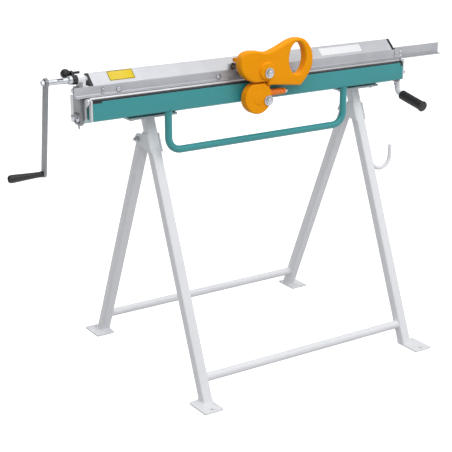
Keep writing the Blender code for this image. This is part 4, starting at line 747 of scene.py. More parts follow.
@dataclass(frozen=True)
class Paint:
    """Sprayed paint over steel or a casting."""

    name: str
    base: Triple
    deep: Triple
    bare: Triple = (0.32, 0.32, 0.33)
    roughness: float = 0.38
    coat: float = 0.25
    specular: float = 0.4
    peel: float = 0.05
    peel_depth: float = 0.4 * MM
    pits: float = 0.0
    wear: float = 0.0
    wear_scale: float = 95.0
    dust: float = 0.0
    dust_height: float = 0.14
    dusty: Triple = (0.46, 0.43, 0.39)
    cloud_scale: float = 7.0
    grain_scale: float = 520.0

    def make(self, effects: Effects) -> bpy.types.Material:
        """Builds the material.

        Args:
            effects: The shared node groups.

        Returns:
            The material.
        """
        material, graph, shader = start_material(self.name)
        cloud = place_group(graph, effects.cloud, Cloud_Scale=self.cloud_scale, Grain_Scale=self.grain_scale,
                            Pits=self.pits)
        shade = graph.sums("MULTIPLY", cloud.outputs["Cloud"], 0.6)
        base = graph.blend(shade, colour(*self.base), colour(*self.deep))
        if self.dust:
            dust = place_group(graph, effects.dust, Height=self.dust_height, Amount=self.dust)
            base = graph.blend(dust.outputs["Mask"], base, colour(*self.dusty))
        rough = graph.sums("ADD", graph.sums("MULTIPLY", cloud.outputs["Smudge"], 0.1), self.roughness - 0.03)
        if self.wear:
            worn = place_group(graph, effects.wear, Amount=self.wear, Scale=self.wear_scale).outputs["Mask"]
            base = graph.blend(worn, base, colour(*self.bare))
            rough = graph.sums("SUBTRACT", rough, graph.sums("MULTIPLY", worn, 0.1))
            graph.feed(shader.inputs["Metallic"], graph.sums("MULTIPLY", worn, 0.9))
        graph.feed(shader.inputs["Base Color"], base)
        graph.feed(shader.inputs["Roughness"], rough)
        shader.inputs["Specular IOR Level"].default_value = self.specular
        shader.inputs["Coat Weight"].default_value = self.coat
        shader.inputs["Coat Roughness"].default_value = 0.12
        bump = graph.add("ShaderNodeBump", Strength=self.peel, Distance=self.peel_depth,
                         Height=cloud.outputs["Grain"])
        graph.feed(shader.inputs["Normal"], bump.outputs["Normal"])
        return material


@dataclass(frozen=True)
class Metal:
    """Bare, drawn, ground or plated metal."""

    name: str
    base: Triple
    deep: Triple
    roughness: float = 0.34
    stretch: Triple = (1.0, 60.0, 60.0)
    scale: float = 25.0
    streaks: float = 0.35
    bump: float = 0.08
    bump_depth: float = 0.25 * MM
    metallic: float = 1.0
    cloud_scale: float = 16.0
    grain_scale: float = 900.0

    def make(self, effects: Effects) -> bpy.types.Material:
        """Builds the material.

        Args:
            effects: The shared node groups.

        Returns:
            The material.
        """
        material, graph, shader = start_material(self.name)
        lines = place_group(graph, effects.lines, Stretch=self.stretch, Scale=self.scale)
        cloud = place_group(graph, effects.cloud, Cloud_Scale=self.cloud_scale, Grain_Scale=self.grain_scale,
                            Pits=0.0)
        mixed = graph.sums("ADD", graph.sums("MULTIPLY", lines.outputs["Lines"], self.streaks),
                           graph.sums("MULTIPLY", cloud.outputs["Cloud"], 0.45))
        graph.feed(shader.inputs["Base Color"], graph.blend(mixed, colour(*self.base), colour(*self.deep)))
        rough = graph.sums("ADD", graph.sums("MULTIPLY", lines.outputs["Scratches"], -0.07), self.roughness)
        rough = graph.sums("ADD", rough, graph.sums("MULTIPLY", cloud.outputs["Smudge"], 0.12))
        graph.feed(shader.inputs["Roughness"], rough)
        shader.inputs["Metallic"].default_value = self.metallic
        grain = graph.sums("MULTIPLY", cloud.outputs["Grain"], 0.5)
        height = graph.sums("ADD", lines.outputs["Lines"], grain)
        bump = graph.add("ShaderNodeBump", Strength=self.bump, Distance=self.bump_depth, Height=height)
        graph.feed(shader.inputs["Normal"], bump.outputs["Normal"])
        return material


@dataclass(frozen=True)
class Moulding:
    """Moulded plastic or rubber."""

    name: str
    base: Triple
    rubbed: Triple
    roughness: float = 0.45
    grain_scale: float = 1400.0
    grain: float = 0.2
    grain_depth: float = 0.2 * MM
    cloud_scale: float = 20.0
    pits: float = 0.5
    wear: float = 0.5
    wear_scale: float = 140.0
    gain: float = 1.7

    def make(self, effects: Effects) -> bpy.types.Material:
        """Builds the material.

        Args:
            effects: The shared node groups.

        Returns:
            The material.
        """
        material, graph, shader = start_material(self.name)
        cloud = place_group(graph, effects.cloud, Cloud_Scale=self.cloud_scale, Grain_Scale=self.grain_scale,
                            Pits=self.pits)
        wear = place_group(graph, effects.wear, Amount=self.wear, Scale=self.wear_scale)
        base = graph.blend(cloud.outputs["Smudge"], colour(*self.base), colour(*self.base, gain=self.gain))
        base = graph.blend(wear.outputs["Mask"], base, colour(*self.rubbed))
        graph.feed(shader.inputs["Base Color"], base)
        rough = graph.span(cloud.outputs["Smudge"], 0.0, 1.0, self.roughness, self.roughness + 0.14)
        graph.feed(shader.inputs["Roughness"], rough)
        bump = graph.add("ShaderNodeBump", Strength=self.grain, Distance=self.grain_depth,
                         Height=cloud.outputs["Grain"])
        graph.feed(shader.inputs["Normal"], bump.outputs["Normal"])
        return material


class Finishes:
    """Every finish of the tool."""

    def __init__(self) -> None:
        """Builds the shared effects and then the materials, each under its short name."""
        effects = Effects()
        plating = {"stretch": (9.0, 9.0, 9.0), "scale": 14.0}
        finishes = {
            "white": Paint("white_stand_paint", (0.79, 0.8, 0.83), (0.75, 0.765, 0.795), peel=0.03,
                           roughness=0.42, coat=0.1, dust=0.12),
            "green": Paint("teal_green_paint", (0.036, 0.29, 0.305), (0.03, 0.26, 0.275), peel=0.04,
                           roughness=0.4, coat=0.1),
            "orange": Paint("orange_casting_paint", (0.9, 0.345, 0.002), (0.86, 0.3, 0.001), peel=0.12,
                            pits=0.3, wear=0.12, roughness=0.42, coat=0.0, specular=0.1),
            "red_orange": Moulding("red_orange_knob", (0.82, 0.2, 0.004), (0.8, 0.3, 0.1), roughness=0.4,
                                   grain=0.08, wear=0.2, gain=1.1),
            "aluminium": Metal("drawn_aluminium", (0.6, 0.61, 0.64), (0.48, 0.49, 0.52), roughness=0.45,
                               metallic=0.5),
            "rail": Metal("rail_aluminium", (0.46, 0.47, 0.5), (0.36, 0.37, 0.4), roughness=0.46,
                          metallic=0.7),
            "zinc": Metal("zinc_plate", (0.54, 0.56, 0.59), (0.34, 0.35, 0.38), roughness=0.33, metallic=0.92,
                          **plating),
            "pale_zinc": Metal("pale_zinc_plate", (0.66, 0.67, 0.69), (0.54, 0.55, 0.57), roughness=0.42,
                               metallic=0.6, **plating),
            "grey_steel": Metal("grey_zinc_plate", (0.24, 0.25, 0.26), (0.17, 0.175, 0.19), roughness=0.42,
                                metallic=0.75, **plating),
            "steel": Metal("ground_steel", (0.52, 0.52, 0.54), (0.36, 0.36, 0.38), roughness=0.28,
                           scale=40.0),
            "blued": Metal("blued_steel_bar", (0.035, 0.04, 0.045), (0.02, 0.02, 0.024), roughness=0.42,
                           metallic=0.8),
            "black": Moulding("black_moulding", (0.006, 0.006, 0.008), (0.03, 0.03, 0.035), gain=1.3),
            "rubber": Moulding("black_grip_rubber", (0.005, 0.005, 0.007), (0.03, 0.03, 0.035), roughness=0.5,
                               gain=1.3, grain_scale=800.0, grain=0.35),
            "yellow": Paint("yellow_label_film", (0.72, 0.53, 0.015), (0.68, 0.49, 0.01), peel=0.02,
                            roughness=0.3, coat=0.1),
            "pale": Paint("white_label_film", (0.74, 0.75, 0.77), (0.72, 0.73, 0.75), peel=0.02,
                          roughness=0.3, coat=0.1),
        }
        for name, finish in finishes.items():
            setattr(self, name, finish.make(effects))


# Hanging pieces on the frame


@dataclass
class Workshop:
    """Turns meshes into pieces that ride on the frame's bodies."""

    finishes: Finishes
    bodies: dict[str, str] = field(default_factory=dict)
    slots: dict[str, str] = field(default_factory=dict)

    def __post_init__(self) -> None:
        """Reads each node's body and material slot from the record."""
        for body, nodes in frame["record"]["behaviour"]["bodies"].items():
            self.bodies.update({node: body for node in nodes})
        for part in frame["record"]["subparts"]:
            self.slots[part["node"]] = part["material_slot"]

    def trim(self, name: str, mesh: bpy.types.Mesh, finish: bpy.types.Material, body: str, slot: Slot,
             smooth: float = 35.0) -> bpy.types.Object:
        """Adds a piece that rides on a body.

        Args:
            name: The piece's name.
            mesh: Its shape, in the row's frame.
            finish: Its material.
            body: The body that carries it.
            slot: The record's slot that its finish belongs to; not used.
            smooth: Angle in degrees past which an edge stays sharp.

        Returns:
            The piece.
        """
        mesh.name = name
        mesh.materials.clear()
        mesh.materials.append(finish)
        mesh.shade_smooth()
        mesh.set_sharp_from_angle(angle=math.radians(smooth))
        piece = bpy.data.objects.new(name, mesh)
        bpy.context.scene.collection.objects.link(piece)
        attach(piece, body)
        LOG.info("piece %s on %s: %d faces", name, body, len(mesh.polygons))
        return piece

    def dress(self, node: str, mesh: bpy.types.Mesh, finish: bpy.types.Material, smooth: float = 35.0,
              also: tuple[str, ...] = ()) -> bpy.types.Object:
        """Adds a detailed piece in the place of a node.

        Args:
            node: The node that it stands for.
            mesh: Its shape.
            finish: Its material.
            smooth: Angle in degrees past which an edge stays sharp.
            also: Further nodes that it stands for.

        Returns:
            The piece.
        """
        piece = self.trim(f"{node}_detailed", mesh, finish, self.bodies[node], Slot(self.slots[node]), smooth)
        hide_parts(node, *also)
        return piece

    def keep(self, node: str, finish: bpy.types.Material, bevel: float = 0.4 * MM) -> None:
        """Keeps a node's own shape, with its edges rounded and its finish on.

        Args:
            node: The node.
            finish: Its material.
            bevel: Radius of its edges.
        """
        kept = frame["nodes"][node]
        kept.data.materials.clear()
        kept.data.materials.append(finish)
        weld_points = kept.modifiers.new("merge", "WELD")
        weld_points.merge_threshold = MM / 100
        edges = kept.modifiers.new("edges", "BEVEL")
        edges.width = bevel
        edges.segments = 2
        edges.limit_method = "ANGLE"
        edges.angle_limit = math.radians(40.0)
        LOG.info("node %s kept", node)


def joint_place(name: str) -> Vector:
    """Returns the point on a joint's axis, from the record."""
    return next(Vector(joint["pos_m"]) for joint in frame["joints"] if joint["name"] == name)


def middle_of(node: str) -> Vector:
    """Returns the middle of a node's box."""
    low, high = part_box(node)
    return (low + high) / 2


@dataclass
class Layout:
    """Places that every sub-assembly is drawn from."""

    bend_y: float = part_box("bed_plate")[0].y
    bed_top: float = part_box("bed_plate")[1].z
    bed_left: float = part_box("bed_beam")[0].x
    bed_right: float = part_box("bed_beam")[1].x

    def section(self, points: Outline) -> Outline:
        """Returns Y and Z of points given in front of the bend line and above the bed's top."""
        return [(self.bend_y - forward, self.bed_top + above) for forward, above in points]

    def ends(self) -> tuple[tuple[str, int, float], ...]:
        """Returns name, direction and place of the bed's two ends."""
        return (("left", -1, self.bed_left), ("right", 1, self.bed_right))


# Sub-assemblies


@dataclass
class SubAssembly:
    """What every sub-assembly is built from."""

    layout: Layout
    shop: Workshop

    def __post_init__(self) -> None:
        """Takes the finishes from the workshop."""
        self.finishes = self.shop.finishes


@dataclass
class Trestles(SubAssembly):
    """Two trestles in square tube whose rear legs fold, with crossbars, feet and top plates."""

    leg_size: float = 30 * MM
    leg_wall: float = 2 * MM
    leg_corner: float = 3.6 * MM
    leg_bead: float = 1.7 * MM
    leg_bead_off: float = 0.6 * MM
    front_foot: float = -296 * MM
    rear_foot: float = 330 * MM
    top_behind: float = 10 * MM
    bar_radius: float = 12.5 * MM
    bar_wall: float = 1.5 * MM
    bar_bead: float = 1.6 * MM
    bar_bead_off: float = 0.4 * MM
    foot_corner: float = 5 * MM
    plate_thick: float = 6 * MM
    cheek_thick: float = 4 * MM
    cheek_radius: float = 17 * MM
    cheek_turn: Pair = (-80.0, 70.0)
    bolt_radius: float = 5 * MM
    bolt_head: float = 8 * MM
    bolt_washer: Pair = (9.4 * MM, 1.5 * MM)
    mount_spacing: float = 120 * MM
    mount_washer: Pair = (8.6 * MM, 1.4 * MM)
    hook_radius: float = 6 * MM
    hook_bend: float = 37 * MM

    def __post_init__(self) -> None:
        """Works out the legs' leans."""
        super().__post_init__()
        self.pivot = joint_place("rear_frame_fold")
        plate_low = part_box("left_top_plate")[1].z - self.plate_thick
        self.front_lean = (self.top_behind - self.front_foot) / plate_low
        self.rear_lean = -(self.rear_foot - self.pivot.y) / self.pivot.z

    def build(self) -> None:
        """Builds both trestles."""
        for side in ("left", "right"):
            self.leg(side, "front", self.front_foot, self.front_lean)
            self.leg(side, "rear", self.rear_foot, self.rear_lean)
            self.foot(side, "front", self.front_foot, self.front_lean, -1)
            self.foot(side, "rear", self.rear_foot, self.rear_lean, 1)
            self.top_plate(side)
            self.pivot_bracket(side)
            self.pivot_bolt(side)
        self.crossbar("front_crossbar")
        self.crossbar("rear_crossbar")
        self.hook()

    def around_leg(self, x: float, base: float, slope: float, z: float) -> list[Vector]:
        """Returns the line of a bead round a leg.

        Args:
            x: X of the leg's middle.
            base: Y of its middle on the floor.
            slope: How far it leans per metre of height.
            z: Height of the bead.

        Returns:
            The line's corners.
        """
        half = self.leg_size / 2 + self.leg_bead_off
        deep = self.leg_size / 2 * math.hypot(1.0, slope) + self.leg_bead_off
        outline = soften(rectangle((x - half, -deep), (x + half, deep)), self.leg_corner, 2)
        return [Vector((u, base + slope * z + v, z)) for u, v in outline]

    def leg(self, side: str, pair: str, base: float, slope: float) -> None:
        """Builds one leg.

        Args:
            side: left or right.
            pair: front or rear.
            base: Y of the leg's middle on the floor.
            slope: How far it leans per metre of height.
        """
        node = f"{side}_{pair}_leg"
        low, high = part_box(node)
        x, half = middle_of(node).x, self.leg_size / 2
        deep = half * math.hypot(1.0, slope)
        box = rectangle((x - half, -deep), (x + half, deep))
        outer = soften(box, self.leg_corner, 5)
        inner = soften(inset(box, self.leg_wall), self.leg_corner - self.leg_wall, 5)
        mesh = hollow(Axis.Z, outer, inner, low.z, high.z)
        for vertex in mesh.vertices:
            vertex.co.y += base + slope * vertex.co.z
        self.shop.dress(node, mesh, self.finishes.white)

    def foot(self, side: str, pair: str, base: float, slope: float, outward: int) -> None:
        """Builds one foot plate with its hole, and the weld round the leg.

        Args:
            side: left or right.
            pair: front or rear.
            base: Y of the leg's middle on the floor.
            slope: How far the leg leans per metre of height.
            outward: Where the hole lies along Y, -1 in front and 1 behind.
        """
        node = f"{side}_{pair}_foot"
        low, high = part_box(node)
        edge = high.y if outward > 0 else low.y
        hole = circle((middle_of(node).x, edge - outward * 15 * MM), 5 * MM)
        outline = soften(rectangle((low.x, low.y), (high.x, high.y)), self.foot_corner, 5)
        leg_x = middle_of(f"{side}_{pair}_leg").x
        bead = weld(self.around_leg(leg_x, base, slope, high.z + GAP), self.leg_bead)
        mesh = merge(plate(Axis.Z, [outline, hole], low.z, high.z, 0.7 * MM), bead)
        self.shop.dress(node, mesh, self.finishes.white)

    def top_plate(self, side: str) -> None:
        """Builds a top plate, the weld under it and the bolts of the bed.

        Args:
            side: left or right.
        """
        node = f"{side}_top_plate"
        low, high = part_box(node)
        face = high.z - self.plate_thick
        x = middle_of(node).x
        outline = soften(rectangle((low.x, low.y), (high.x, high.y)), 4 * MM, 4)
        bead = weld(self.around_leg(x, self.front_foot, self.front_lean, face - GAP), self.leg_bead)
        mesh = merge(plate(Axis.Z, [outline], face, high.z, 0.6 * MM), bead)
        self.shop.dress(node, mesh, self.finishes.white)
        y = low.y + (high.y - low.y) / 4
        wide, thick = self.mount_washer
        parts = []
        for step in (-1, 1):
            place = (x + step * self.mount_spacing / 2, y)
            parts.append(washer(Axis.Z, place, wide, face - thick, face))
            parts.append(hexagon_head(Axis.Z, place, 6.5 * MM, face - thick, low.z))
        self.shop.trim(f"{side}_bed_bolt_heads", merge(*parts), self.finishes.zinc, "stand", Slot.ZINC)

    def pivot_bracket(self, side: str) -> None:
        """Builds the bracket that holds a rear leg between two cheeks.

        Args:
            side: left or right.
        """
        node = f"{side}_pivot_bracket"
        low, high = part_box(node)
        x = middle_of(f"{side}_front_leg").x
        centre = (self.pivot.y, self.pivot.z)
        deep = self.leg_size / 2 * math.hypot(1.0, self.front_lean)
        ends = [(self.leg_middle(z) - deep, z) for z in (high.z, low.z)]
        outline = arc(centre, self.cheek_radius, *self.cheek_turn, 12) + ends
        hole = circle(centre, self.bolt_radius + GAP, 24)
        inside = self.leg_size / 2 + RUN
        outside = inside + self.cheek_thick
        parts = []
        for s in (-1, 1):
            faces = sorted((x + s * inside, x + s * outside))
            parts.append(plate(Axis.X, [outline, hole], *faces, 0.5 * MM))
            seam = [Vector((x + s * (inside + self.leg_bead_off), y + self.bar_bead_off, z)) for y, z in ends]
            parts.append(weld(seam, 1.5 * MM, closed=False))
        (top_y, top_z), (low_y, low_z) = ends
        behind = 2 * deep + GAP
        web = [(low_y + behind, low_z), (low_y + behind + self.cheek_thick, low_z),
               (top_y + behind + self.cheek_thick, top_z), (top_y + behind, top_z)]
        parts.append(plate(Axis.X, [web], x - inside - GAP, x + inside + GAP, SHARP))
        self.shop.dress(node, merge(*parts), self.finishes.white)

    def leg_middle(self, z: float) -> float:
        """Returns Y of the front leg's middle at a height."""
        return self.front_foot + self.front_lean * z

    def pivot_bolt(self, side: str) -> None:
        """Builds a pivot bolt with its head, washers, nut and threaded end.

        Args:
            side: left or right.
        """
        node = f"{side}_pivot_bolt"
        low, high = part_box(node)
        x = middle_of(f"{side}_front_leg").x
        centre = (self.pivot.y, self.pivot.z)
        wide, thick = self.bolt_washer
        face = self.leg_size / 2 + RUN + self.cheek_thick + GAP
        nut_end = x - face - thick - 6.9 * MM
        parts = [
            rod(Axis.X, centre, self.bolt_radius, nut_end, high.x - 4 * MM, 24),
            washer(Axis.X, centre, wide, x + face, x + face + thick),
            washer(Axis.X, centre, wide, x - face - thick, x - face),
            hexagon_head(Axis.X, centre, self.bolt_head, x + face + thick, high.x),
            hexagon_head(Axis.X, centre, self.bolt_head, x - face - thick, nut_end),
            thread(Axis.X, centre, self.bolt_radius, nut_end, low.x + THREAD_TIP, tip=THREAD_TIP),
        ]
        self.shop.dress(node, merge(*parts), self.finishes.zinc)

    def crossbar(self, node: str) -> None:
        """Builds a round crossbar with the welds at both legs.

        Args:
            node: The crossbar's node.
        """
        low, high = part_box(node)
        middle = middle_of(node)
        centre = (middle.y, middle.z)
        outer = circle(centre, self.bar_radius, FINE)
        inner = circle(centre, self.bar_radius - self.bar_wall, FINE)
        parts = [hollow(Axis.X, outer, inner, low.x, high.x)]
        for x in (low.x, high.x):
            ring = [Vector((x, u, v)) for u, v in circle(centre, self.bar_radius + self.bar_bead_off, 40)]
            parts.append(weld(ring, self.bar_bead))
        self.shop.dress(node, merge(*parts), self.finishes.white)

    def hook(self) -> None:
        """Builds the bent carrying hook with its rounded end and its weld."""
        low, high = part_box("carry_hook")
        y, radius = middle_of("carry_hook").y, self.hook_radius
        centre = (high.x - radius - self.hook_bend, low.z + radius + self.hook_bend)
        line = arc(centre, self.hook_bend, 215.0, 360.0, 24)
        z = line[0][1]
        line = [(low.x, z)] + line + [(line[-1][0], high.z - radius * DOME_SHARE)]
        bar = swept([(u, y, v) for u, v in line], radius, 24, dome=True)
        ring = [Vector((low.x + GAP, y + u, z + v)) for u, v in circle((0.0, 0.0), radius, 24)]
        self.shop.dress("carry_hook", merge(bar, weld(ring, self.bar_bead)), self.finishes.white)


@dataclass
class Bed(SubAssembly):
    """The bed beam, the ground bed plate, and the end plates with the hinge pins."""

    wall: float = 4 * MM
    setback: float = 9 * MM
    undercut: Pair = (46 * MM, 20 * MM)
    ear_drop: float = 4.4 * MM
    ear_radius: float = 9.4 * MM
    ear_turn: Pair = (-90.0, 140.0)
    end_thick: float = 5.4 * MM
    end_edge: float = 0.5 * MM
    pin_radius: float = 3.4 * MM
    rivet_radius: float = 5.5 * MM
    rivet_top: Pair = (3.5 * MM, 3 * MM)

    def build(self) -> None:
        """Builds the bed."""
        low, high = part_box("bed_beam")
        deep, rise = self.undercut
        box = [(low.y + deep, low.z), (high.y, low.z), (high.y, high.z), (low.y, high.z),
               (low.y, low.z + rise)]
        inner = soften(inset(box, self.wall), 1.5 * MM, 6)
        mesh = hollow(Axis.X, soften(box, 5 * MM, 6), inner, low.x, high.x)
        self.shop.dress("bed_beam", mesh, self.finishes.green)
        low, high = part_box("bed_plate")
        bar = rectangle((low.y, low.z), (high.y, high.z))
        self.shop.dress("bed_plate", plate(Axis.X, [bar], low.x, high.x, SHARP), self.finishes.steel)
        for name, side, end in self.layout.ends():
            self.end_plate(name, side, end)

    def end_plate(self, name: str, side: int, end: float) -> None:
        """Builds an end plate with its hinge pin's riveted head and the shaft's bearing.

        Args:
            name: left or right.
            side: -1 at the left and 1 at the right.
            end: X of the bed's end.
        """
        node = f"{name}_bed_end_plate"
        low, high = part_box(node)
        rear = self.layout.bend_y - high.y
        drop = low.z - self.layout.bed_top
        deep, rise = self.undercut
        points = arc((0.0, -self.ear_drop), self.ear_radius, *self.ear_turn, 20) + [
            (-self.setback - self.ear_radius, 0.0), (rear, 0.0), (rear, drop), (-self.setback - deep, drop),
            (-self.setback, drop + rise), (-self.setback, -self.ear_drop - 2 * self.ear_radius)]
        shaft = joint_place("clamp_lever")
        bearing = circle((shaft.y, shaft.z), 5.3 * MM)
        inner, outer = end + side * RUN, end + side * (RUN + self.end_thick)
        outlines = [self.layout.section(points), bearing]
        mesh = plate(Axis.X, outlines, *sorted((inner, outer)), self.end_edge)
        self.shop.dress(node, mesh, self.finishes.pale_zinc)
        centre = (self.layout.bend_y, self.layout.bed_top)
        top_radius, top = self.rivet_top[0], outer + side * self.rivet_top[1]
        profile = [(0.0, outer), (self.rivet_radius, outer), (self.rivet_radius, outer + side * 1.6 * MM),
                   (top_radius, top), (0.0, top)]
        pin = merge(rod(Axis.X, centre, self.pin_radius, end - side * 4.7 * MM, outer, bevel=0.4 * MM),
                    turned(Axis.X, centre, profile, MEDIUM, self.end_edge))
        self.shop.trim(f"{name}_hinge_pin", pin, self.finishes.zinc, "stand", Slot.ZINC)


@dataclass
class Apron(SubAssembly):
    """The folding leaf: beam, bending bar, end plates and handle."""

    wall: float = 3 * MM
    # Length and height of the black patches of painted shade at the apron's two upper corners.
    left_shade_patch: Pair = (28 * MM, 4.5 * MM)
    right_shade_patch: Pair = (10 * MM, 9.5 * MM)
    ear_radius: float = 5.2 * MM
    end_edge: float = 0.4 * MM
    bead_inset: float = 5.2 * MM
    bead_ends: Pair = (3 * MM, 14 * MM)
    handle_radius: float = 10.6 * MM
    handle_bend: float = 38 * MM
    collar_radius: float = 11.4 * MM

    def build(self) -> None:
        """Builds the apron."""
        low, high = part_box("apron_beam")
        box = rectangle((low.y, low.z), (high.y, high.z))
        inner = soften(inset(box, self.wall), 0.8 * MM, 5)
        mesh = hollow(Axis.X, soften(box, 2.4 * MM, 5), inner, low.x, high.x)
        self.shop.dress("apron_beam", mesh, self.finishes.green)
        self.bending_bar()
        for name, side, end in self.layout.ends():
            self.end_plate(name, side, end)
        self.handle()

    def bending_bar(self) -> None:
        """Builds the bending bar, and the flat black patches of painted shade under it at both ends of the apron.
        """
        low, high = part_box("bending_bar")
        bar = rectangle((low.y, low.z), (high.y, high.z))
        self.shop.dress("bending_bar", plate(Axis.X, [bar], low.x, high.x, SHARP), self.finishes.blued)
        low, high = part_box("apron_beam")
        parts = []
        # Painted shade: thin black patches laid just proud of the apron's front face stand in for the shadow of
        # recesses at its upper corners.
        right = high.x - self.right_shade_patch[0]
        for left, length, drop in ((low.x, *self.left_shade_patch), (right, *self.right_shade_patch)):
            shade_patch = rectangle((left, high.z - drop), (left + length, high.z))
            parts.append(plate(Axis.Y, [soften(shade_patch, 1.2 * MM, 3)], low.y - 0.25 * MM,
                               low.y + 1 * MM, 0.1 * MM, 1))
        self.shop.trim("apron_end_painted_shade", merge(*parts), self.finishes.black, "apron", Slot.BLUED)

    def end_plate(self, name: str, side: int, end: float) -> None:
        """Builds an end plate with its hinge ear, and its weld.

        Args:
            name: left or right.
            side: -1 at the left and 1 at the right.
            end: X of the bed's end.
        """
        node = f"{name}_apron_end_plate"
        low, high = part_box(node)
        front, drop, ear = self.layout.bend_y - low.y, low.z - self.layout.bed_top, self.ear_radius
        points = [(front, drop), (front, -GAP)] + arc((0.0, 0.0), ear, 60.0, 180.0, 14)
        points += [(-ear, -ear), (GAP, -2 * ear), (GAP, drop)]
        hole = circle((self.layout.bend_y, self.layout.bed_top), 3.7 * MM, 24)
        mesh = plate(Axis.X, [self.layout.section(points), hole], low.x, high.x, self.end_edge)
        x, y = end - side * self.bead_inset, low.y + self.end_edge
        seam = [Vector((x, y, z)) for z in (low.z + self.bead_ends[0], high.z - self.bead_ends[1])]
        bead = weld(seam, 1.0 * MM, closed=False)
        self.shop.dress(node, mesh, self.finishes.pale_zinc)
        self.shop.trim(f"{name}_apron_weld", bead, self.finishes.green, "apron", Slot.GREEN)

    def handle(self) -> None:
        """Builds the U handle with its collars and welds."""
        low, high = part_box("apron_handle")
        y, radius, wide = middle_of("apron_handle").y, self.handle_radius, self.collar_radius
        left, right = low.x + wide, high.x - wide
        bottom = low.z + radius
        corners = [(left, y, high.z), (left, y, bottom), (right, y, bottom), (right, y, high.z)]
        parts = [swept(soften(corners, self.handle_bend, 14, closed=False), radius, MEDIUM)]
        foot = high.z - 10 * MM
        for x in (left, right):
            profile = [(radius - GAP, foot), (wide, foot + 3.5 * MM), (wide, high.z), (radius - GAP, high.z),
                       (radius - GAP, foot)]
            parts.append(turned(Axis.Z, (x, y), profile, MEDIUM, 0.6 * MM))
            ring = [Vector((x + u, y + v, high.z)) for u, v in circle((0.0, 0.0), 11 * MM, 36)]
            parts.append(weld(ring, 1.4 * MM))
        self.shop.dress("apron_handle", merge(*parts), self.finishes.green)


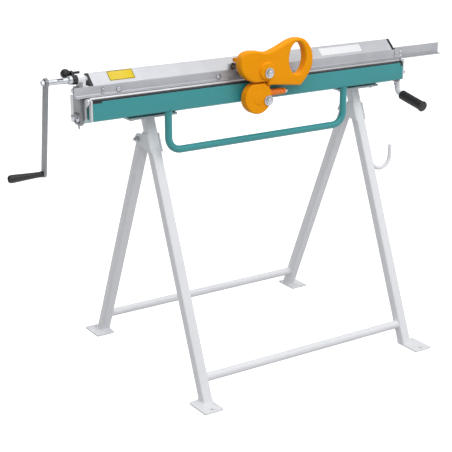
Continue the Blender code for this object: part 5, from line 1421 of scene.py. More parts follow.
@dataclass
class ClampBeam(SubAssembly):
    """The clamp nose, the extruded beam and rail, the labels, brackets, links and bearings."""

    slope_depth: float = 31 * MM
    slope_rise: float = 29 * MM
    front_height: float = 29 * MM
    ridge: float = 5 * MM
    rear_height: float = 17 * MM
    beam_wall: float = 3.5 * MM
    block_edge: float = 0.8 * MM
    nose_bevel: float = 3.4 * MM
    rail_web: float = 3.3 * MM
    flange: float = 3.5 * MM
    lip_middle: Point = (1.7 * MM, 1.75 * MM)
    rail_chamfer: float = 0.8 * MM
    end_corner: float = 8 * MM
    end_steps: int = 8
    angle_wall: float = 3 * MM
    button_radius: float = 7.5 * MM
    button_rim: float = 1.2 * MM
    button_dome: float = 2.6 * MM
    button_spacing: float = 320 * MM
    screw_radius: float = 3 * MM
    screw_faces: Pair = (0.7 * MM, 2.6 * MM)
    screw_insets: Pair = (49 * MM, 32 * MM)
    screw_heights: Pair = (29 / 3 * MM, 58 / 3 * MM)
    # Radius and thickness of the dark rings of painted shadow under the small screws.
    screw_shadow_ring: Pair = (4.9 * MM, 0.8 * MM)
    rivet_heights: Pair = (8.7 * MM, 20.88 * MM)
    # Radius and thickness of the dark rings of painted shadow under the rivets.
    rivet_shadow_ring: Pair = (5.6 * MM, 0.5 * MM)
    rivet_table: Table = ((0.0, 0.0), (4.6, 0.0), (4.6, 1.0), (2.6, 2.3), (0.0, 2.5))
    yellow_span: Pair = (78 * MM, 156 * MM)
    yellow_start: float = 0.4 * MM
    yellow_height: float = 32.5 * MM
    white_span: Pair = (794 * MM, 951 * MM)
    white_start: float = 7 * MM
    white_height: float = 27 * MM
    label_thick: float = 0.4 * MM
    border_line: float = 1.5 * MM
    border_margin: float = 0.7 * MM
    bracket_corner: float = 2 * MM
    bore: float = 8.3 * MM
    boss_radius: float = 13 * MM
    bearing_edge: float = 1 * MM
    bush_chamfer: float = 1.5 * MM
    lug_radius: float = 7 * MM
    lug_root: Point = (9 * MM, 5 * MM)
    collar_radius: float = 12 * MM
    link_faces: Pair = (6.6 * MM, 16.6 * MM)
    link_corner: float = 6 * MM
    window_half: float = 13 * MM
    link_bolt_at: Point = (11 * MM, 20 * MM)
    link_bolt_head: float = 6.4 * MM
    link_washer: Pair = (8 * MM, 1.3 * MM)
    stop_nut: Pair = (3.6 * MM, 5 * MM)
    stop_tip: float = 3.5 * MM

    def build(self) -> None:
        """Builds everything that the eccentrics lift."""
        self.beam()
        self.nose()
        self.rail()
        self.fasteners()
        self.labels()
        self.right_bracket()
        self.mandrel_bearing()
        for name, side, end in self.layout.ends():
            self.link(name, side, end)

    def beam_outline(self) -> Outline:
        """Returns the beam's section, as (y, z) points."""
        low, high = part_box("clamp_beam_section")
        ridge_y = low.y + self.slope_depth
        return [(low.y, low.z), (high.y, low.z), (high.y, low.z + self.rear_height),
                (ridge_y + self.ridge, high.z), (ridge_y, high.z), (low.y, low.z + self.front_height)]

    def beam(self) -> None:
        """Builds the extruded beam with its end caps."""
        low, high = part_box("clamp_beam_section")
        outline = self.beam_outline()
        outer = soften(outline, 1.6 * MM, 4)
        inner = soften(inset(outline, self.beam_wall), 1.0 * MM, 4)
        mesh = hollow(Axis.X, outer, inner, low.x, high.x)
        self.shop.dress("clamp_beam_section", mesh, self.finishes.aluminium)
        for node in ("left_beam_cap", "right_beam_cap"):
            low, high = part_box(node)
            cap = plate(Axis.X, [outer], low.x, high.x, self.block_edge, 3)
            self.shop.dress(node, cap, self.finishes.black)

    def nose(self) -> None:
        """Builds the bevelled clamp nose."""
        low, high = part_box("clamp_nose")
        outline = [(low.y, low.z), (high.y, low.z), (high.y, high.z), (low.y + self.nose_bevel, high.z),
                   (low.y, high.z - self.nose_bevel)]
        mesh = plate(Axis.X, [outline], low.x, high.x, 0.25 * MM)
        self.shop.dress("clamp_nose", mesh, self.finishes.pale_zinc)

    def rail(self) -> None:
        """Builds the slitter rail with its rounded lip and its round lower left corner."""
        low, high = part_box("slitter_rail")
        web, foot, fillet = high.y - self.rail_web, low.z, 6 * MM
        lip = (low.y + self.lip_middle[0], foot + self.lip_middle[1])
        points = [(high.y, high.z), (high.y, foot)] + arc(lip, 1.74 * MM, 270.0, 90.0, 10)
        points += arc((web - fillet, foot + self.flange + fillet), fillet, 270.0, 360.0, 10)
        points += [(web, high.z - self.rail_chamfer), (web + self.rail_chamfer, high.z)]
        rings = []
        for turn in range(self.end_steps + 1):
            angle = math.radians(90.0 * turn / self.end_steps)
            lift = self.end_corner * (1.0 - math.sin(angle))
            raised = [(y, max(z, foot + lift)) for y, z in points]
            rings.append((raised, low.x + self.end_corner * (1.0 - math.cos(angle))))
        mesh = tube(Axis.X, rings + [(points, high.x)])
        self.shop.dress("slitter_rail", mesh, self.finishes.rail, smooth=28.0)
        self.extension(high.x + GAP)

    def extension(self, start: float) -> None:
        """Builds the angle behind the rail's right end.

        Args:
            start: X at which its flange starts, beyond the rail.
        """
        low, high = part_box("rail_extension")
        wall, corner, fillet = self.angle_wall, 0.7 * MM, 2.4 * MM
        front, top = high.y - wall, low.z + wall
        web = soften([(high.y, low.z), (high.y, high.z), (front, high.z), (front, low.z)], corner, 3)
        flange = soften(rectangle((low.y, low.z), (front + wall / 2, top)), corner, 3)
        inside = [(front, top - 0.2 * MM)] + arc((front - fillet, top + fillet), fillet, 0.0, -90.0, 6)
        parts = [tube(Axis.X, [(web, low.x), (web, high.x)])]
        parts += [tube(Axis.X, [(outline, start), (outline, high.x)]) for outline in (flange, inside)]
        self.shop.dress("rail_extension", merge(*parts), self.finishes.rail, smooth=28.0)

    def fasteners(self) -> None:
        """Builds the domed rivets and the small screws on the rail's front, each on a dark ring of painted shadow.
        """
        low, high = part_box("slitter_rail")
        web, foot = high.y - self.rail_web, low.z
        # rings gathers the dark discs that are painted shadow round every dome, screw and rivet head.
        domes, rings, small, large = [], [], [], []
        rim = web - self.button_rim
        for i in range(3):
            x = self.layout.bed_left + 98 * MM + i * self.button_spacing
            centre = (x, self.layout.bed_top + 18 * MM)
            profile = [(0.0, web), (self.button_radius, web), (self.button_radius, rim)]
            profile += [(self.button_radius * math.cos(a), rim - self.button_dome * math.sin(a))
                        for a in (math.radians(12.0 * k) for k in range(1, 7))]
            domes.append(turned(Axis.Y, centre, profile + [(0.0, rim - self.button_dome)], 40, 0.0))
            rings.append(washer(Axis.Y, centre, self.button_radius + self.button_rim,
                                web - self.rivet_shadow_ring[1], web))
        from_left, from_right = self.screw_insets
        for x in (self.layout.bed_left + from_left, high.x - from_right):
            for height in self.screw_heights:
                centre = (x, foot + height)
                rings.append(washer(Axis.Y, centre, self.screw_shadow_ring[0], web - self.screw_shadow_ring[1], web))
                near, far = (web - place for place in self.screw_faces)
                small.append(socket_screw(Axis.Y, centre, self.screw_radius, near, far))
        for height in self.rivet_heights:
            centre = (high.x - 10.5 * MM, foot + height)
            large.append(turned(Axis.Y, centre, stations(self.rivet_table, web, -1), MEDIUM, 0.5 * MM))
            rings.append(washer(Axis.Y, centre, self.rivet_shadow_ring[0], web - self.rivet_shadow_ring[1], web))
        for name, parts, finish in (("rail_domed_rivets", domes, self.finishes.zinc),
                                    ("rail_screws", small, self.finishes.pale_zinc),
                                    ("rail_painted_shadow_rings", rings, self.finishes.grey_steel),
                                    ("extension_rivets", large, self.finishes.pale_zinc)):
            self.shop.trim(name, merge(*parts), finish, "clamp_beam", Slot.ZINC)

    def on_slope(self, x: float, down: float, proud: float) -> Vector:
        """Returns a point on the beam's sloping face.

        Args:
            x: Place along the beam.
            down: Distance down the slope from the ridge.
            proud: Height above the face.

        Returns:
            The point.
        """
        low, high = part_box("clamp_beam_section")
        slope = Vector((0.0, -self.slope_depth, -self.slope_rise)).normalized()
        out = Vector((0.0, -self.slope_rise, self.slope_depth)).normalized()
        return Vector((x, low.y + self.slope_depth, high.z)) + slope * down + out * proud

    def label(self, name: str, low: Point, high: Point, thick: float, finish: bpy.types.Material,
              holes: list[Outline] | None = None) -> None:
        """Lays a thin bare plate with round corners on the slope.

        Args:
            name: The piece's name.
            low: Its corner nearest the bed's left end and the ridge, measured from both.
            high: Its opposite corner.
            thick: Its thickness.
            finish: Its material.
            holes: Outlines cut out of it, measured in the same way.
        """
        mesh = plate(Axis.Z, [soften(rectangle(low, high), 2.2 * MM, 4)] + (holes or []), 0.0, thick,
                     thick * 0.3, 1)
        for vertex in mesh.vertices:
            x, down, proud = vertex.co
            vertex.co = self.on_slope(self.layout.bed_left + x, down, proud + 0.02 * MM)
        shape = bmesh.new()
        shape.from_mesh(mesh)
        bpy.data.meshes.remove(mesh)
        self.shop.trim(name, to_mesh(shape), finish, "clamp_beam", Slot.ALUMINIUM)

    def labels(self) -> None:
        """Builds the bare yellow plate with its thin dark frame line, and the bare white plate."""
        low = (self.yellow_span[0], self.yellow_start)
        high = (self.yellow_span[1], self.yellow_start + self.yellow_height)
        self.label("yellow_label_plate", low, high, self.label_thick, self.finishes.yellow)
        margin, line = self.border_margin, self.border_margin + self.border_line
        inner = rectangle((low[0] + line, low[1] + line), (high[0] - line, high[1] - line))
        self.label("yellow_label_border", (low[0] + margin, low[1] + margin),
                   (high[0] - margin, high[1] - margin), 0.5 * MM, self.finishes.black,
                   [soften(inner, 1.2 * MM, 3)])
        low = (self.white_span[0], self.white_start)
        high = (self.white_span[1], self.white_start + self.white_height)
        self.label("white_label_plate", low, high, self.label_thick, self.finishes.pale)

    def right_bracket(self) -> None:
        """Builds the block at the beam's right end."""
        low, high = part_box("right_bracket")
        outline = soften(rectangle((low.y, low.z), (high.y, high.z)), self.bracket_corner, 4)
        mesh = plate(Axis.X, [outline], low.x, high.x, self.block_edge)
        self.shop.dress("right_bracket", mesh, self.finishes.pale_zinc)

    def mandrel_bearing(self) -> None:
        """Builds the left bracket with its round boss, and the collar beside it."""
        mandrel = joint_place("crank_spin")
        centre = (mandrel.y, mandrel.z)
        low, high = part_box("mandrel_bracket")
        shoulder = self.layout.bed_top + 34.9 * MM
        outline = [(low.y, low.z), (high.y, low.z), (high.y, shoulder)]
        outline += arc(centre, self.boss_radius, 0.0, 180.0, 24)
        face, step = self.layout.bed_left - 6.3 * MM, high.x - 11 * MM
        rim = sleeve(self.bore, self.boss_radius, low.x, face + GAP, near=1 * MM)
        block = soften(rectangle((low.y, low.z), (high.y, shoulder)), self.bracket_corner, 4)
        parts = [plate(Axis.X, [outline, circle(centre, self.bore)], face, step, self.bearing_edge, 3),
                 turned(Axis.X, centre, rim, FINE),
                 plate(Axis.X, [block], step - 2 * MM, high.x, self.bearing_edge, 3)]
        self.shop.dress("mandrel_bracket", merge(*parts), self.finishes.white)
        self.bush(centre)
        low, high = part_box("locking_collar")
        collar = sleeve(self.bore, self.collar_radius, low.x, high.x, self.bush_chamfer, self.bush_chamfer)
        self.shop.dress("locking_collar", turned(Axis.X, centre, collar, FINE), self.finishes.zinc)

    def bush(self, centre: Point) -> None:
        """Builds the black bush with the lug that holds the knob.

        Args:
            centre: Y and Z of the mandrel's axis.
        """
        low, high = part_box("bearing_bush")
        profile = sleeve(self.bore, self.boss_radius, low.x, high.x, near=self.bush_chamfer)
        knob = joint_place("lock_knob_turn")
        at = (knob.y, knob.z)
        aim = math.degrees(math.atan2(at[1] - centre[1], at[0] - centre[0]))
        root = (centre[0] + self.lug_root[0], centre[1] + self.lug_root[1])
        lug = arc(at, self.lug_radius, aim - 90.0, aim + 90.0, 16)
        lug += arc(root, self.lug_radius, aim + 90.0, aim + 270.0, 8)
        mesh = merge(turned(Axis.X, centre, profile, FINE, 0.5 * MM),
                     plate(Axis.X, [lug, circle(at, 3.8 * MM, 24)], high.x - 7.3 * MM, high.x - GAP,
                           self.bearing_edge))
        self.shop.dress("bearing_bush", mesh, self.finishes.black)

    def link(self, name: str, side: int, end: float) -> None:
        """Builds a link with its window, its bolts, washers and the pointed stop screw.

        Args:
            name: left or right.
            side: -1 at the left and 1 at the right.
            end: X of the bed's end.
        """
        node = f"{name}_clamp_link"
        low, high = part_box(node)
        inner, outer = (end + side * face for face in self.link_faces)
        bottom, corner, middle = low.z + 14 * MM, self.link_corner, middle_of(node).y
        corners = [(low.y, bottom + corner), (low.y + corner, bottom), (high.y - corner, bottom),
                   (high.y, bottom + corner), (high.y, high.z), (low.y, high.z)]
        disc_z = joint_place("clamp_lever").z + THROW * math.sin(THROW_START)
        wide = DISC_RADIUS + RUN + THROW * (1 - math.cos(THROW_START)) / 2
        tall = self.window_half
        window = rectangle((middle - wide, disc_z - tall), (middle + wide, disc_z + tall))
        outlines = [soften(corners, 1.5 * MM, 3), soften(window, 1.2 * MM, 4)]
        mesh = plate(Axis.X, outlines, *sorted((inner, outer)), 0.7 * MM)
        self.shop.dress(node, mesh, self.finishes.grey_steel)
        off, height = self.link_bolt_at
        radius, thick = self.link_washer
        face, top = outer + side * thick, outer + side * 7 * MM
        bolts = []
        for y in (middle - off, middle + off):
            centre = (y, self.layout.bed_top + height)
            bolts.append(washer(Axis.X, centre, radius, outer, face))
            bolts.append(hexagon_head(Axis.X, centre, self.link_bolt_head, face, top))
        self.shop.trim(f"{name}_link_bolts", merge(*bolts), self.finishes.zinc, "clamp_beam", Slot.ZINC)
        place, (across, tall) = ((inner + outer) / 2, middle), self.stop_nut
        screw = merge(hexagon_head(Axis.Z, place, across, bottom, bottom - tall),
                      thread(Axis.Z, place, 2.4 * MM, bottom - tall, low.z + self.stop_tip,
                             0.9 * MM, self.stop_tip))
        self.shop.trim(f"{name}_stop_screw", screw, self.finishes.zinc, "clamp_beam", Slot.ZINC)


@dataclass
class ClampLever(SubAssembly):
    """The eccentric shaft with its discs and nuts, the bent lever tube and its ribbed grip."""

    tube_radius: float = 8.5 * MM
    hub_length: float = 22 * MM
    hub_radius: float = 13.3 * MM
    start_drop: float = 13 * MM
    lower: float = 61 * MM
    lean: float = 3 * MM
    bend: float = 24 * MM
    fall: float = 22 * MM
    shaft_radius: float = 5 * MM
    shaft_inset: float = 8 * MM
    thread_radius: float = 4.9 * MM
    thread_inset: float = 1 * MM
    disc_faces: Pair = (6.9 * MM, 16.3 * MM)
    nut_across: float = 7.7 * MM
    nut_height: float = 7.6 * MM
    grip_length: float = 104 * MM
    grip_radius: float = 15 * MM
    near_table: Table = ((-1.5, 0.0), (0.0, 1.5), (0.0, 4.0))
    far_table: Table = ((0.0, 11.0), (0.0, 8.0), (1.4, 7.0), (2.0, 6.0), (2.0, 3.0), (0.6, 0.9), (-2.5, 0.0))
    ribbed_insets: Pair = (5 * MM, 12 * MM)
    ribs: int = 20
    rib_depth: float = 0.9 * MM

    def build(self) -> None:
        """Builds the shaft, the lever and the grip."""
        shaft = joint_place("clamp_lever")
        centre = (shaft.y, shaft.z)
        self.shaft(centre)
        low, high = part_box("clamp_lever")
        x = low.x + self.tube_radius
        start = Vector((x, shaft.y, shaft.z - self.start_drop))
        corner = Vector((x, shaft.y - self.lean, shaft.z - self.lower))
        tilt = math.atan2(self.fall, self.grip_length)
        ahead = Vector((0.0, -math.cos(tilt), -math.sin(tilt)))
        grip_start = corner + ahead * self.bend
        path = soften([start, corner, grip_start + ahead * 40 * MM], self.bend, 14, closed=False)
        hub = sleeve(5.3 * MM, self.hub_radius, low.x, low.x + self.hub_length)
        ring = [Vector((x + u, shaft.y + v, shaft.z - 13.4 * MM))
                for u, v in circle((0.0, 0.0), self.tube_radius, 30)]
        mesh = merge(swept(path, self.tube_radius, MEDIUM), turned(Axis.X, centre, hub, FINE, 0.8 * MM),
                     weld(ring, 1.5 * MM))
        self.shop.dress("clamp_lever", mesh, self.finishes.white)
        self.grip(grip_start, tilt)

    def shaft(self, centre: Point) -> None:
        """Builds the shaft with its eccentric discs, nuts and threaded ends.

        Args:
            centre: Y and Z of the shaft's axis.
        """
        low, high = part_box("eccentric_shaft")
        disc = (centre[0] - THROW * math.cos(THROW_START), centre[1] + THROW * math.sin(THROW_START))
        left, right = low.x + self.shaft_inset, high.x - self.shaft_inset
        parts = [rod(Axis.X, centre, self.shaft_radius, left, right),
                 thread(Axis.X, centre, self.thread_radius, left, low.x + self.thread_inset, FINE_PITCH),
                 thread(Axis.X, centre, self.thread_radius, right, high.x - self.thread_inset, FINE_PITCH)]
        for _, side, end in self.layout.ends():
            inner, outer = sorted(end + side * face for face in self.disc_faces)
            parts.append(rod(Axis.X, disc, DISC_RADIUS, inner, outer, FINE, 0.6 * MM))
        nut_left = self.layout.bed_left - 17.2 * MM
        nut_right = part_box("clamp_lever")[0].x + self.hub_length + GAP
        for face, end in ((nut_left, nut_left - self.nut_height), (nut_right, nut_right + self.nut_height)):
            parts.append(hexagon_head(Axis.X, centre, self.nut_across, face, end))
        self.shop.dress("eccentric_shaft", merge(*parts), self.finishes.zinc)

    def grip(self, start: Vector, tilt: float) -> None:
        """Builds the ribbed rubber grip with its end flange.

        Args:
            start: Where the grip begins on the tube's axis.
            tilt: How steeply it falls, in radians.
        """
        radius, length = self.grip_radius, self.grip_length
        near, far = self.ribbed_insets
        places = [(8.8 * MM, 0.0, False)]
        places += [(radius + out * MM, along * MM, False) for out, along in self.near_table]
        places += [(radius, near, True), (radius, length - far, True)]
        places += [(radius + out * MM, length - along * MM, False) for out, along in self.far_table]
        places.append((1 * MM, length, False))
        sides = self.ribs * 6
        rings = []
        for radius, along, ribbed in places:
            outline = []
            for i in range(sides):
                angle = math.tau * i / sides
                share = (0.5 - 0.5 * math.cos(angle * self.ribs)) ** 2
                reach = radius - self.rib_depth * share if ribbed else radius
                outline.append((reach * math.cos(angle), reach * math.sin(angle)))
            rings.append((outline, -along))
        mesh = tube(Axis.Y, rings)
        mesh.transform(Matrix.Translation(start) @ Matrix.Rotation(tilt, 4, "X"))
        self.shop.dress("lever_grip", mesh, self.finishes.rubber, smooth=45.0)


@dataclass
class BeadRoller(SubAssembly):
    """The slotted mandrel with its crank, turning handle and locking knob."""

    mandrel_radius: float = 8 * MM
    neck_radius: float = 5.6 * MM
    slot_width: float = 4.6 * MM
    slot_length: float = 20 * MM
    slot_tilt: float = 48.0
    slot_from_crank: float = 25 * MM
    nut_washer: Pair = (8.6 * MM, 1.3 * MM)
    nut_across: float = 7 * MM
    arm_turn: float = 8.5
    arm_width: float = 20 * MM
    hub_radius: float = 13 * MM
    hub_turn: Pair = (-40.0, 220.0)
    handle_near: Table = ((4.4, 0.0), (7.4, 0.0), (8.6, 1.5), (8.6, 5.0), (7.9, 8.0))
    handle_far: Table = ((11.4, 6.0), (10.4, 1.6), (9.0, 0.0), (6.6, 0.0), (6.6, 4.5), (4.4, 4.5))
    handle_swell: float = 3.6 * MM
    handle_ends: Pair = (8 * MM, 20 * MM)
    pin_radius: float = 4 * MM
    pin_head: Table = ((4.0, 2.0), (6.4, 2.0), (6.4, 0.8), (4.6, 0.0), (0.0, 0.0))

    def build(self) -> None:
        """Builds the crank's pieces."""
        spin, foot = joint_place("crank_spin"), joint_place("crank_handle_spin")
        self.centre = (spin.y, spin.z)
        self.foot = (foot.y, foot.z)
        self.mandrel(spin.x)
        self.arm()
        self.handle()
        self.pin()
        self.knob()

    def mandrel(self, right: float) -> None:
        """Builds the slotted spindle with its nut.

        Args:
            right: X of the crank arm's right face.
        """
        low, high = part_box("bead_mandrel")
        slot_low = right + self.slot_from_crank
        body = rod(Axis.X, self.centre, self.mandrel_radius, right, high.x, FINE, 0.6 * MM)
        bar = bpy.data.objects.new("bar", body)
        half, reach = self.slot_width / 2, self.mandrel_radius * 2
        outline = soften(rectangle((slot_low, -half), (slot_low + self.slot_length, half)), half * 0.98, 8)
        slot = plate(Axis.Z, [outline], -reach, reach, 0.1 * MM, 0)
        turn = Matrix.Rotation(math.radians(90.0 - self.slot_tilt), 4, "X")
        slot.transform(Matrix.Translation((0.0, *self.centre)) @ turn)
        cutter = bpy.data.objects.new("slot", slot)
        for item in (bar, cutter):
            bpy.context.scene.collection.objects.link(item)
        cut = bar.modifiers.new("slot", "BOOLEAN")
        cut.object = cutter
        cut.operation = "DIFFERENCE"
        bpy.context.view_layer.update()
        spindle = bpy.data.meshes.new_from_object(bar.evaluated_get(bpy.context.evaluated_depsgraph_get()))
        for item in (bar, cutter):
            bpy.data.objects.remove(item)
        left = low.x + 6 * MM
        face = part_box("crank_arm")[0].x
        radius, thick = self.nut_washer
        parts = [spindle, rod(Axis.X, self.centre, self.neck_radius, left, right),
                 washer(Axis.X, self.centre, radius, face - thick, face),
                 hexagon_head(Axis.X, self.centre, self.nut_across, face - thick, face - 8 * MM),
                 thread(Axis.X, self.centre, 4.4 * MM, left, low.x + 0.5 * MM, FINE_PITCH)]
        self.shop.dress("bead_mandrel", merge(*parts), self.finishes.zinc)

    def arm(self) -> None:
        """Builds the crank arm, a flat bar with a round hub and a round foot."""
        low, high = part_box("crank_arm")
        start, end = (self.arm_turn + angle for angle in self.hub_turn)
        outline = arc(self.centre, self.hub_radius, start, end, 28)
        outline += arc(self.foot, self.arm_width / 2, self.arm_turn + 180.0, self.arm_turn + 360.0, 20)
        holes = [circle(self.centre, self.neck_radius + GAP, 24), circle(self.foot, 4.3 * MM, 24)]
        mesh = plate(Axis.X, [outline] + holes, low.x, high.x, 1.1 * MM, 3)
        self.shop.dress("crank_arm", mesh, self.finishes.grey_steel)

    def handle(self) -> None:
        """Builds the turning handle, which swells towards its end."""
        low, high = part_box("crank_handle_grip")
        start, ends = self.handle_ends
        length = high.x - low.x - ends
        profile = stations(self.handle_near, high.x, -1)
        for share in (0.2, 0.4, 0.6, 0.8, 1.0):
            radius = 7.9 * MM + self.handle_swell * share ** 1.3
            profile.append((radius, high.x - start - length * share))
        profile += stations(self.handle_far, low.x) + profile[:1]
        mesh = turned(Axis.X, self.foot, profile, FINE, 0.8 * MM)
        self.shop.dress("crank_handle_grip", mesh, self.finishes.black)

    def pin(self) -> None:
        """Builds the pin that the handle turns on."""
        low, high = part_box("handle_pin")
        profile = [(0.0, low.x), (self.pin_radius, low.x)] + stations(self.pin_head, high.x, -1)
        self.shop.dress("handle_pin", turned(Axis.X, self.foot, profile, MEDIUM, SHARP), self.finishes.zinc)

    def knob(self) -> None:
        """Builds the ball knob with the stem that passes through the bush's lug."""
        place = joint_place("lock_knob_turn")
        low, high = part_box("lock_knob")
        radius, stem = place.x - low.x, 3.5 * MM
        profile = [(0.0, low.x)] + arc((0.0, place.x), radius, -90.0, 70.0, 40)[1:]
        profile += [(stem + 1.2 * MM, place.x + radius * 0.97), (stem, place.x + radius + 0.5 * MM),
                    (stem, high.x), (0.0, high.x)]
        mesh = turned(Axis.X, (place.y, place.z), profile, FINE, SHARP)
        self.shop.dress("lock_knob", mesh, self.finishes.black, smooth=45.0)


@dataclass
class RollingCutter(SubAssembly):
    """The cast cutter with its lower housing, wheels, bolts and tension knob, and the carriage behind it."""

    body_left: float = 94.5 * MM
    body_length: float = 253 * MM
    body_top: float = 117.5 * MM
    rear: float = 25.5 * MM
    depth: float = 30 * MM
    throat_top: float = 2 * MM
    throat_bottom: float = -3 * MM
    throat_end: float = 2 * MM
    neck_right: float = 18 * MM
    neck_low: float = 70 * MM
    neck_depth: float = 13 * MM
    hole_at: Point = (103 * MM, 59 * MM)
    hole_half: Point = (29 * MM, 47 * MM)
    boss_at: Point = (-6 * MM, 33 * MM)
    boss_table: Table = ((0.0, -5.0), (27.5, -1.0), (25.5, 1.5), (24.0, 6.0), (0.0, 6.0))
    hinge_at: Point = (-12 * MM, 62 * MM)
    hinge_radius: float = 6 * MM
    hinge_heights: Pair = (50 * MM, 74 * MM)
    hinge_lefts: Pair = (-76 * MM, 52 * MM)
    wheel_at: Point = (-29 * MM, -44.7 * MM)
    housing_radius: float = 46 * MM
    housing_front: float = 25 * MM
    hub_table: Table = ((0.0, -2.0), (19.0, -1.0), (17.0, 1.2), (0.0, 1.8))
    lobe_table: Table = ((17.0, -1.0), (15.6, 0.3), (0.0, 0.3))
    main_bolt_at: Point = (-2 * MM, 28 * MM)
    lower_bolt_at: Point = (4 * MM, -54 * MM)
    disc_radius: float = 15 * MM
    nut_across: float = 9.6 * MM
    dome_radius: float = 8.6 * MM
    dome_height: float = 5 * MM
    knob_ribs: int = 5
    knob_radii: Pair = (7.4 * MM, 10 * MM)
    knob_shares: tuple[float, float, float] = (0.45, 1.1, 1.5)
    knob_edge: float = 0.9 * MM
    screw_end: float = 9 * MM
    screw_radii: Pair = (6 * MM, 4.2 * MM)
    screw_laps: tuple[float, float, float] = (1 * MM, 5 * MM, 0.6 * MM)
    pin_radius: float = 3 * MM
    race: Pair = (7.6 * MM, 9 * MM)
    seal: Pair = (4.6 * MM, 7.7 * MM)
    seal_insets: Pair = (0.5 * MM, 0.4 * MM)
    inner_race: Pair = (3.3 * MM, 4.7 * MM)
    race_edge: float = 0.2 * MM

    def __post_init__(self) -> None:
        """Finds the cutter's middle."""
        super().__post_init__()
        self.x = joint_place("cutter_tip").x

    def at(self, x: float, above: float) -> Point:
        """Returns world X and Z of a point given from the cutter's middle and above the bed's top."""
        return (self.x + x, self.layout.bed_top + above)

    def y(self, forward: float) -> float:
        """Returns world Y of a plane in front of the bend line."""
        return self.layout.bend_y - forward

    def slab(self, outlines: list[Outline], rear: float, front: float, bevel: float,
             steps: int = 3) -> bpy.types.Mesh:
        """Returns a plate of the cutter between two planes in front of the bend line.

        Args:
            outlines: The outer outline and the holes, from the cutter's middle and above the bed's top.
            rear: Where its rear face is.
            front: Where its front face is.
            bevel: Radius of its edges.
            steps: Chords of each edge.

        Returns:
            The mesh.
        """
        placed = [[self.at(*point) for point in outline] for outline in outlines]
        return plate(Axis.Y, placed, self.y(front), self.y(rear), bevel, steps)

    def build(self) -> None:
        """Builds the cutter and its carriage."""
        self.body()
        self.housing()
        self.bolts()
        self.knob()
        self.wheels()
        self.carriage()
        self.rollers()

    def body_outline(self) -> Outline:
        """Returns the body's outline from its middle, smooth but for the throat's corners."""
        top_shares = (
            (0.0, 0.45), (0.012, 0.65), (0.06, 0.76), (0.145, 0.795), (0.245, 0.775), (0.357, 0.727),
            (0.464, 0.783), (0.575, 0.878), (0.673, 0.965), (0.76, 1.0), (0.86, 0.974), (0.93, 0.855),
            (0.974, 0.715), (0.995, 0.587), (1.0, 0.455), (0.998, 0.328), (0.974, 0.179), (0.94, 0.068),
            (0.89, -0.065), (0.83, -0.182),
        )
        low_shares = ((0.196, 0.0), (0.114, 0.077), (0.032, 0.244))
        left, length, height = self.body_left, self.body_length, self.body_top
        top = [(a * length - left, b * height) for a, b in top_shares]
        low = [(a * length - left, b * height + self.throat_top) for a, b in low_shares]
        web = self.throat_top - 12 * MM
        neck = [(self.neck_right, web), (self.throat_end, web), (self.throat_end, self.throat_top)]
        return flowing(top[3:], 5) + neck + flowing(low + top[:4], 5)[:-1]

    def body(self) -> None:
        """Builds the cast body with its hand hole, boss, neck and hinge lugs."""
        front = self.rear + self.depth
        (u, v), (wide, tall) = self.hole_at, self.hole_half
        hole = [(u + wide * a, v + tall * b) for a, b in circle((0.0, 0.0), 1.0, FINE)]
        neck = rectangle((self.throat_end, -self.neck_low), (self.neck_right, self.throat_top))
        boss = stations(self.boss_table, self.y(front), -1)
        parts = [
            self.slab([self.body_outline(), hole], self.rear, front, 6 * MM, 6),
            self.slab([soften(neck, 7.9 * MM, 8)], self.rear + GAP, self.rear + self.neck_depth,
                      2.5 * MM),
            turned(Axis.Y, self.at(*self.boss_at), boss, FINE, 2.2 * MM, 4),
        ]
        root = self.rear + 5 * MM
        outline = arc(self.hinge_at, self.hinge_radius, 90.0, 270.0, 16)
        outline = self.layout.section(outline + [(root, height) for height in self.hinge_heights])
        for left in (self.x + place for place in self.hinge_lefts):
            parts.append(plate(Axis.X, [outline], left, left + 10 * MM, 1 * MM, 3))
        self.shop.dress("cutter_body", merge(*parts), self.finishes.orange, smooth=40.0)

    def housing(self) -> None:
        """Builds the round cover of the lower wheel with its raised lobe and its rim."""
        centre, radius, right = self.wheel_at, self.housing_radius, self.throat_end - GAP
        split = self.rear + self.neck_depth + GAP
        front = self.rear + self.housing_front
        top = math.degrees(math.asin((self.throat_bottom - centre[1]) / radius))
        side = math.degrees(math.acos((right - centre[0]) / radius))
        cover = soften(arc(centre, radius, 180.0 - top, 360.0 + top, FINE), 3 * MM, 3)
        back = [(right, self.throat_bottom)] + arc(centre, radius, 180.0 - top, 360.0 - side, FINE)
        hub = stations(self.hub_table, self.y(front), -1)
        lobe = [(0.0, self.y(split + GAP)), (18.5 * MM, self.y(split + GAP))]
        lobe += stations(self.lobe_table, self.y(front), -1)
        parts = [
            self.slab([cover], split, front, 4.6 * MM, 6),
            self.slab([back], self.rear, split + GAP, 0.8 * MM),
            turned(Axis.Y, self.at(*centre), hub, FINE, 1 * MM, 4),
            turned(Axis.Y, self.at(*self.lower_bolt_at), lobe, FINE, 1.2 * MM, 4),
        ]
        self.shop.dress("lower_wheel_housing", merge(*parts), self.finishes.orange, smooth=40.0)

    def bolts(self) -> None:
        """Builds the domed nuts on their washers."""
        for node, place in (("main_bolt", self.main_bolt_at), ("lower_bolt", self.lower_bolt_at)):
            low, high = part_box(node)
            centre, face = self.at(*place), high.y - 3 * MM
            start, crown = face - 4.5 * MM, face - self.dome_height
            dome = [(0.0, start), (self.dome_radius, start)]
            dome += [(self.dome_radius * math.cos(a), crown - self.dome_height * math.sin(a))
                     for a in (math.radians(15.0 * k) for k in range(6))]
            dome.append((0.0, crown - self.dome_height))
            mesh = merge(rod(Axis.Y, centre, self.disc_radius, high.y, face, FINE, 0.8 * MM, 3),
                         hexagon_head(Axis.Y, centre, self.nut_across, face, face - 5.5 * MM),
                         turned(Axis.Y, centre, dome, FINE, 0.0))
            self.shop.dress(node, mesh, self.finishes.zinc)

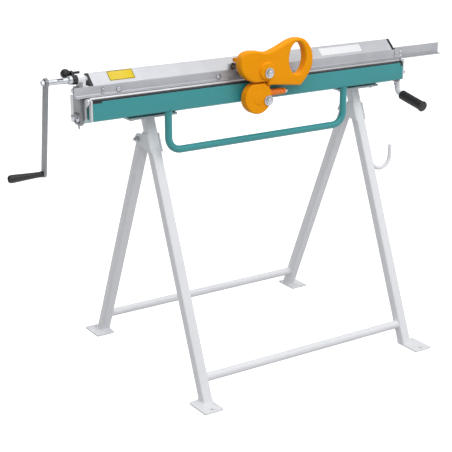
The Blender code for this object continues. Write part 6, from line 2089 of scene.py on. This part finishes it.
    def knob(self) -> None:
        """Builds the ribbed tension knob and its bright end."""
        low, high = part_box("tension_knob")
        middle = middle_of("tension_knob")
        centre = (middle.y, middle.z)
        end = high.x - self.screw_end
        step = (end - low.x) / (2 * self.knob_ribs)
        root, crest = self.knob_radii
        up, across, down = (step * share for share in self.knob_shares)
        profile = [(0.0, low.x)]
        for i in range(self.knob_ribs):
            start = low.x + 2 * i * step
            profile += [(root, start), (crest, start + up), (crest, start + across), (root, start + down)]
        profile += [(root, end), (0.0, end)]
        mesh = turned(Axis.X, centre, profile, FINE, self.knob_edge, 3)
        self.shop.dress("tension_knob", mesh, self.finishes.red_orange)
        wide, narrow = self.screw_radii
        lap, length, tip = self.screw_laps
        cap = [(0.0, end - lap), (wide, end - lap), (wide, end + length), (narrow, high.x - tip),
               (0.0, high.x)]
        mesh = turned(Axis.X, centre, cap, MEDIUM, self.knob_edge, 3)
        self.shop.trim("tension_screw_end", mesh, self.finishes.zinc, "cutter_head", Slot.ZINC)

    def wheels(self) -> None:
        """Gives the cutting wheels their bevelled rims and bores, and dresses their axles."""
        for node, sharp, blunt in (("upper_cutting_wheel", 1, 0), ("lower_cutting_wheel", 0, 1)):
            box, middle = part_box(node), middle_of(node)
            radius, bore = (box[1].x - box[0].x) / 2, 7 * MM
            near, far = box[sharp].y, box[blunt].y
            profile = [(bore, near), (radius, near), (radius, middle.y), (radius - 1.8 * MM, far),
                       (radius * 0.6, far), (bore, far), (bore, near)]
            mesh = turned(Axis.Y, (middle.x, middle.z), profile, FINE, 0.12 * MM, 1)
            self.shop.dress(node, mesh, self.finishes.steel)
        for node in ("upper_wheel_axle", "lower_wheel_axle"):
            self.shop.keep(node, self.finishes.zinc, SHARP)

    def carriage(self) -> None:
        """Dresses the carriage bar and the pin that the cutter tips about."""
        self.shop.keep("carriage_bar", self.finishes.zinc)
        low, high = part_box("tip_pin")
        middle = middle_of("tip_pin")
        mesh = rod(Axis.X, (middle.y, middle.z), self.pin_radius, low.x, high.x, MEDIUM, 0.6 * MM)
        self.shop.dress("tip_pin", mesh, self.finishes.zinc)

    def rollers(self) -> None:
        """Builds the guide rollers as sealed bearings: steel rings, a black seal and a bright hub."""
        for side in ("left", "right"):
            node = f"{side}_guide_roller"
            low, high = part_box(node)
            middle = middle_of(node)
            centre = (middle.x, middle.z)
            radius, (inner, outer) = (high.x - low.x) / 2, self.race
            step = low.y + 1.4 * MM
            tread = [(inner, high.y), (outer, high.y), (outer, step), (radius, step), (radius, low.y),
                     (inner, low.y), (inner, high.y)]
            seal = sleeve(*self.seal, high.y - self.seal_insets[1], low.y + self.seal_insets[0])
            hub = sleeve(*self.inner_race, high.y, low.y)
            self.shop.dress(node, turned(Axis.Y, centre, seal, FINE, self.race_edge), self.finishes.black)
            rings = merge(turned(Axis.Y, centre, tread, FINE, SHARP),
                          turned(Axis.Y, centre, hub, FINE, self.race_edge))
            self.shop.trim(f"{side}_bearing_rings", rings, self.finishes.steel, f"{side}_roller", Slot.BRIGHT)


# Studio


@dataclass
class Studio:
    """Pale floor, soft lamps and the camera."""

    camera_place: Triple = (-1.89765, -2.847, 1.511)
    heading: float = 33.09
    pitch: float = 18.18
    focal_pixels: float = 1177.5
    image_pixels: float = 452.0
    sensor: float = 36.0
    floor_half: float = 30.0
    floor_faces: Pair = (-0.05, -0.0005)
    world_strength: float = 0.44
    aim: Triple = (0.0, 0.0, 0.55)

    def build(self) -> None:
        """Sets up the floor, the lamps, the world and the camera."""
        self.floor()
        self.lamps()
        self.world()
        self.camera()
        bpy.context.scene.view_settings.view_transform = "Standard"

    def floor(self) -> None:
        """Lays the pale floor, which the camera and shiny pieces see white."""
        half = self.floor_half
        mesh = tube(Axis.Z, [(rectangle((-half, -half), (half, half)), place) for place in self.floor_faces])
        floor = bpy.data.objects.new("floor", mesh)
        bpy.context.scene.collection.objects.link(floor)
        material, graph, shader = start_material("pale_floor")
        shader.inputs["Base Color"].default_value = colour(0.42, 0.42, 0.425)
        shader.inputs["Roughness"].default_value = 0.9
        shader.inputs["Specular IOR Level"].default_value = 0.1
        path = graph.add("ShaderNodeLightPath")
        seen = graph.sums("MAXIMUM", path.outputs["Is Glossy Ray"], path.outputs["Is Transmission Ray"])
        seen = graph.sums("MAXIMUM", path.outputs["Is Camera Ray"], seen)
        glow = graph.add("ShaderNodeEmission", Strength=seen)
        total = graph.add("ShaderNodeAddShader")
        graph.feed(total.inputs[0], shader.outputs[0])
        graph.feed(total.inputs[1], glow.outputs[0])
        graph.feed(graph.tree.nodes["Material Output"].inputs["Surface"], total.outputs[0])
        mesh.materials.append(material)

    def lamps(self) -> None:
        """Hangs the soft lamps round the tool."""
        target = Vector(self.aim)
        lamps = (
            ("key", (-1.6, -3.0, 3.4), 2.6, 56.0), ("fill", (2.9, -2.4, 2.2), 2.4, 22.0),
            ("front", (0.7, -2.6, 4.0), 2.0, 52.0), ("top", (0.3, 0.6, 3.8), 3.0, 40.0),
            ("rear", (-0.5, 3.4, 2.4), 2.6, 16.0),
        )
        for name, place, size, power in lamps:
            light = bpy.data.lights.new(name, "AREA")
            light.shape = "SQUARE"
            light.size = size
            light.energy = power
            lamp = bpy.data.objects.new(name, light)
            lamp.location = place
            lamp.rotation_euler = (target - Vector(place)).to_track_quat("-Z", "Y").to_euler()
            bpy.context.scene.collection.objects.link(lamp)

    def world(self) -> None:
        """Fills the surroundings with plain white light."""
        world = bpy.data.worlds.new("studio")
        world.use_nodes = True
        bpy.context.scene.world = world
        graph = Graph(world.node_tree)
        ground = world.node_tree.nodes["Background"]
        ground.inputs["Color"].default_value = colour(1.0, 1.0, 1.0)
        path = graph.add("ShaderNodeLightPath")
        seen = graph.sums("MAXIMUM", path.outputs["Is Camera Ray"], path.outputs["Is Transmission Ray"])
        graph.feed(ground.inputs["Strength"], graph.span(seen, 0.0, 1.0, self.world_strength, 1.0))

    def camera(self) -> None:
        """Puts the camera where the photograph was taken from."""
        lens = bpy.data.cameras.new("camera")
        lens.sensor_width = self.sensor
        lens.lens = self.sensor * self.focal_pixels / self.image_pixels
        camera = bpy.data.objects.new("camera", lens)
        camera.location = self.camera_place
        camera.rotation_euler = (math.radians(90.0 - self.pitch), 0.0, math.radians(-self.heading))
        bpy.context.scene.collection.objects.link(camera)
        bpy.context.scene.camera = camera


def main() -> None:
    """Dresses the whole tool and sets up the studio."""
    logging.basicConfig(level=logging.INFO, format="%(name)s: %(message)s")
    layout = Layout()
    shop = Workshop(Finishes())
    kinds = (Trestles, Bed, Apron, ClampBeam, ClampLever, BeadRoller, RollingCutter)
    for part in [kind(layout, shop) for kind in kinds] + [Studio()]:
        part.build()
        LOG.info("%s done", type(part).__name__)


if __name__ == "__main__":
    main()
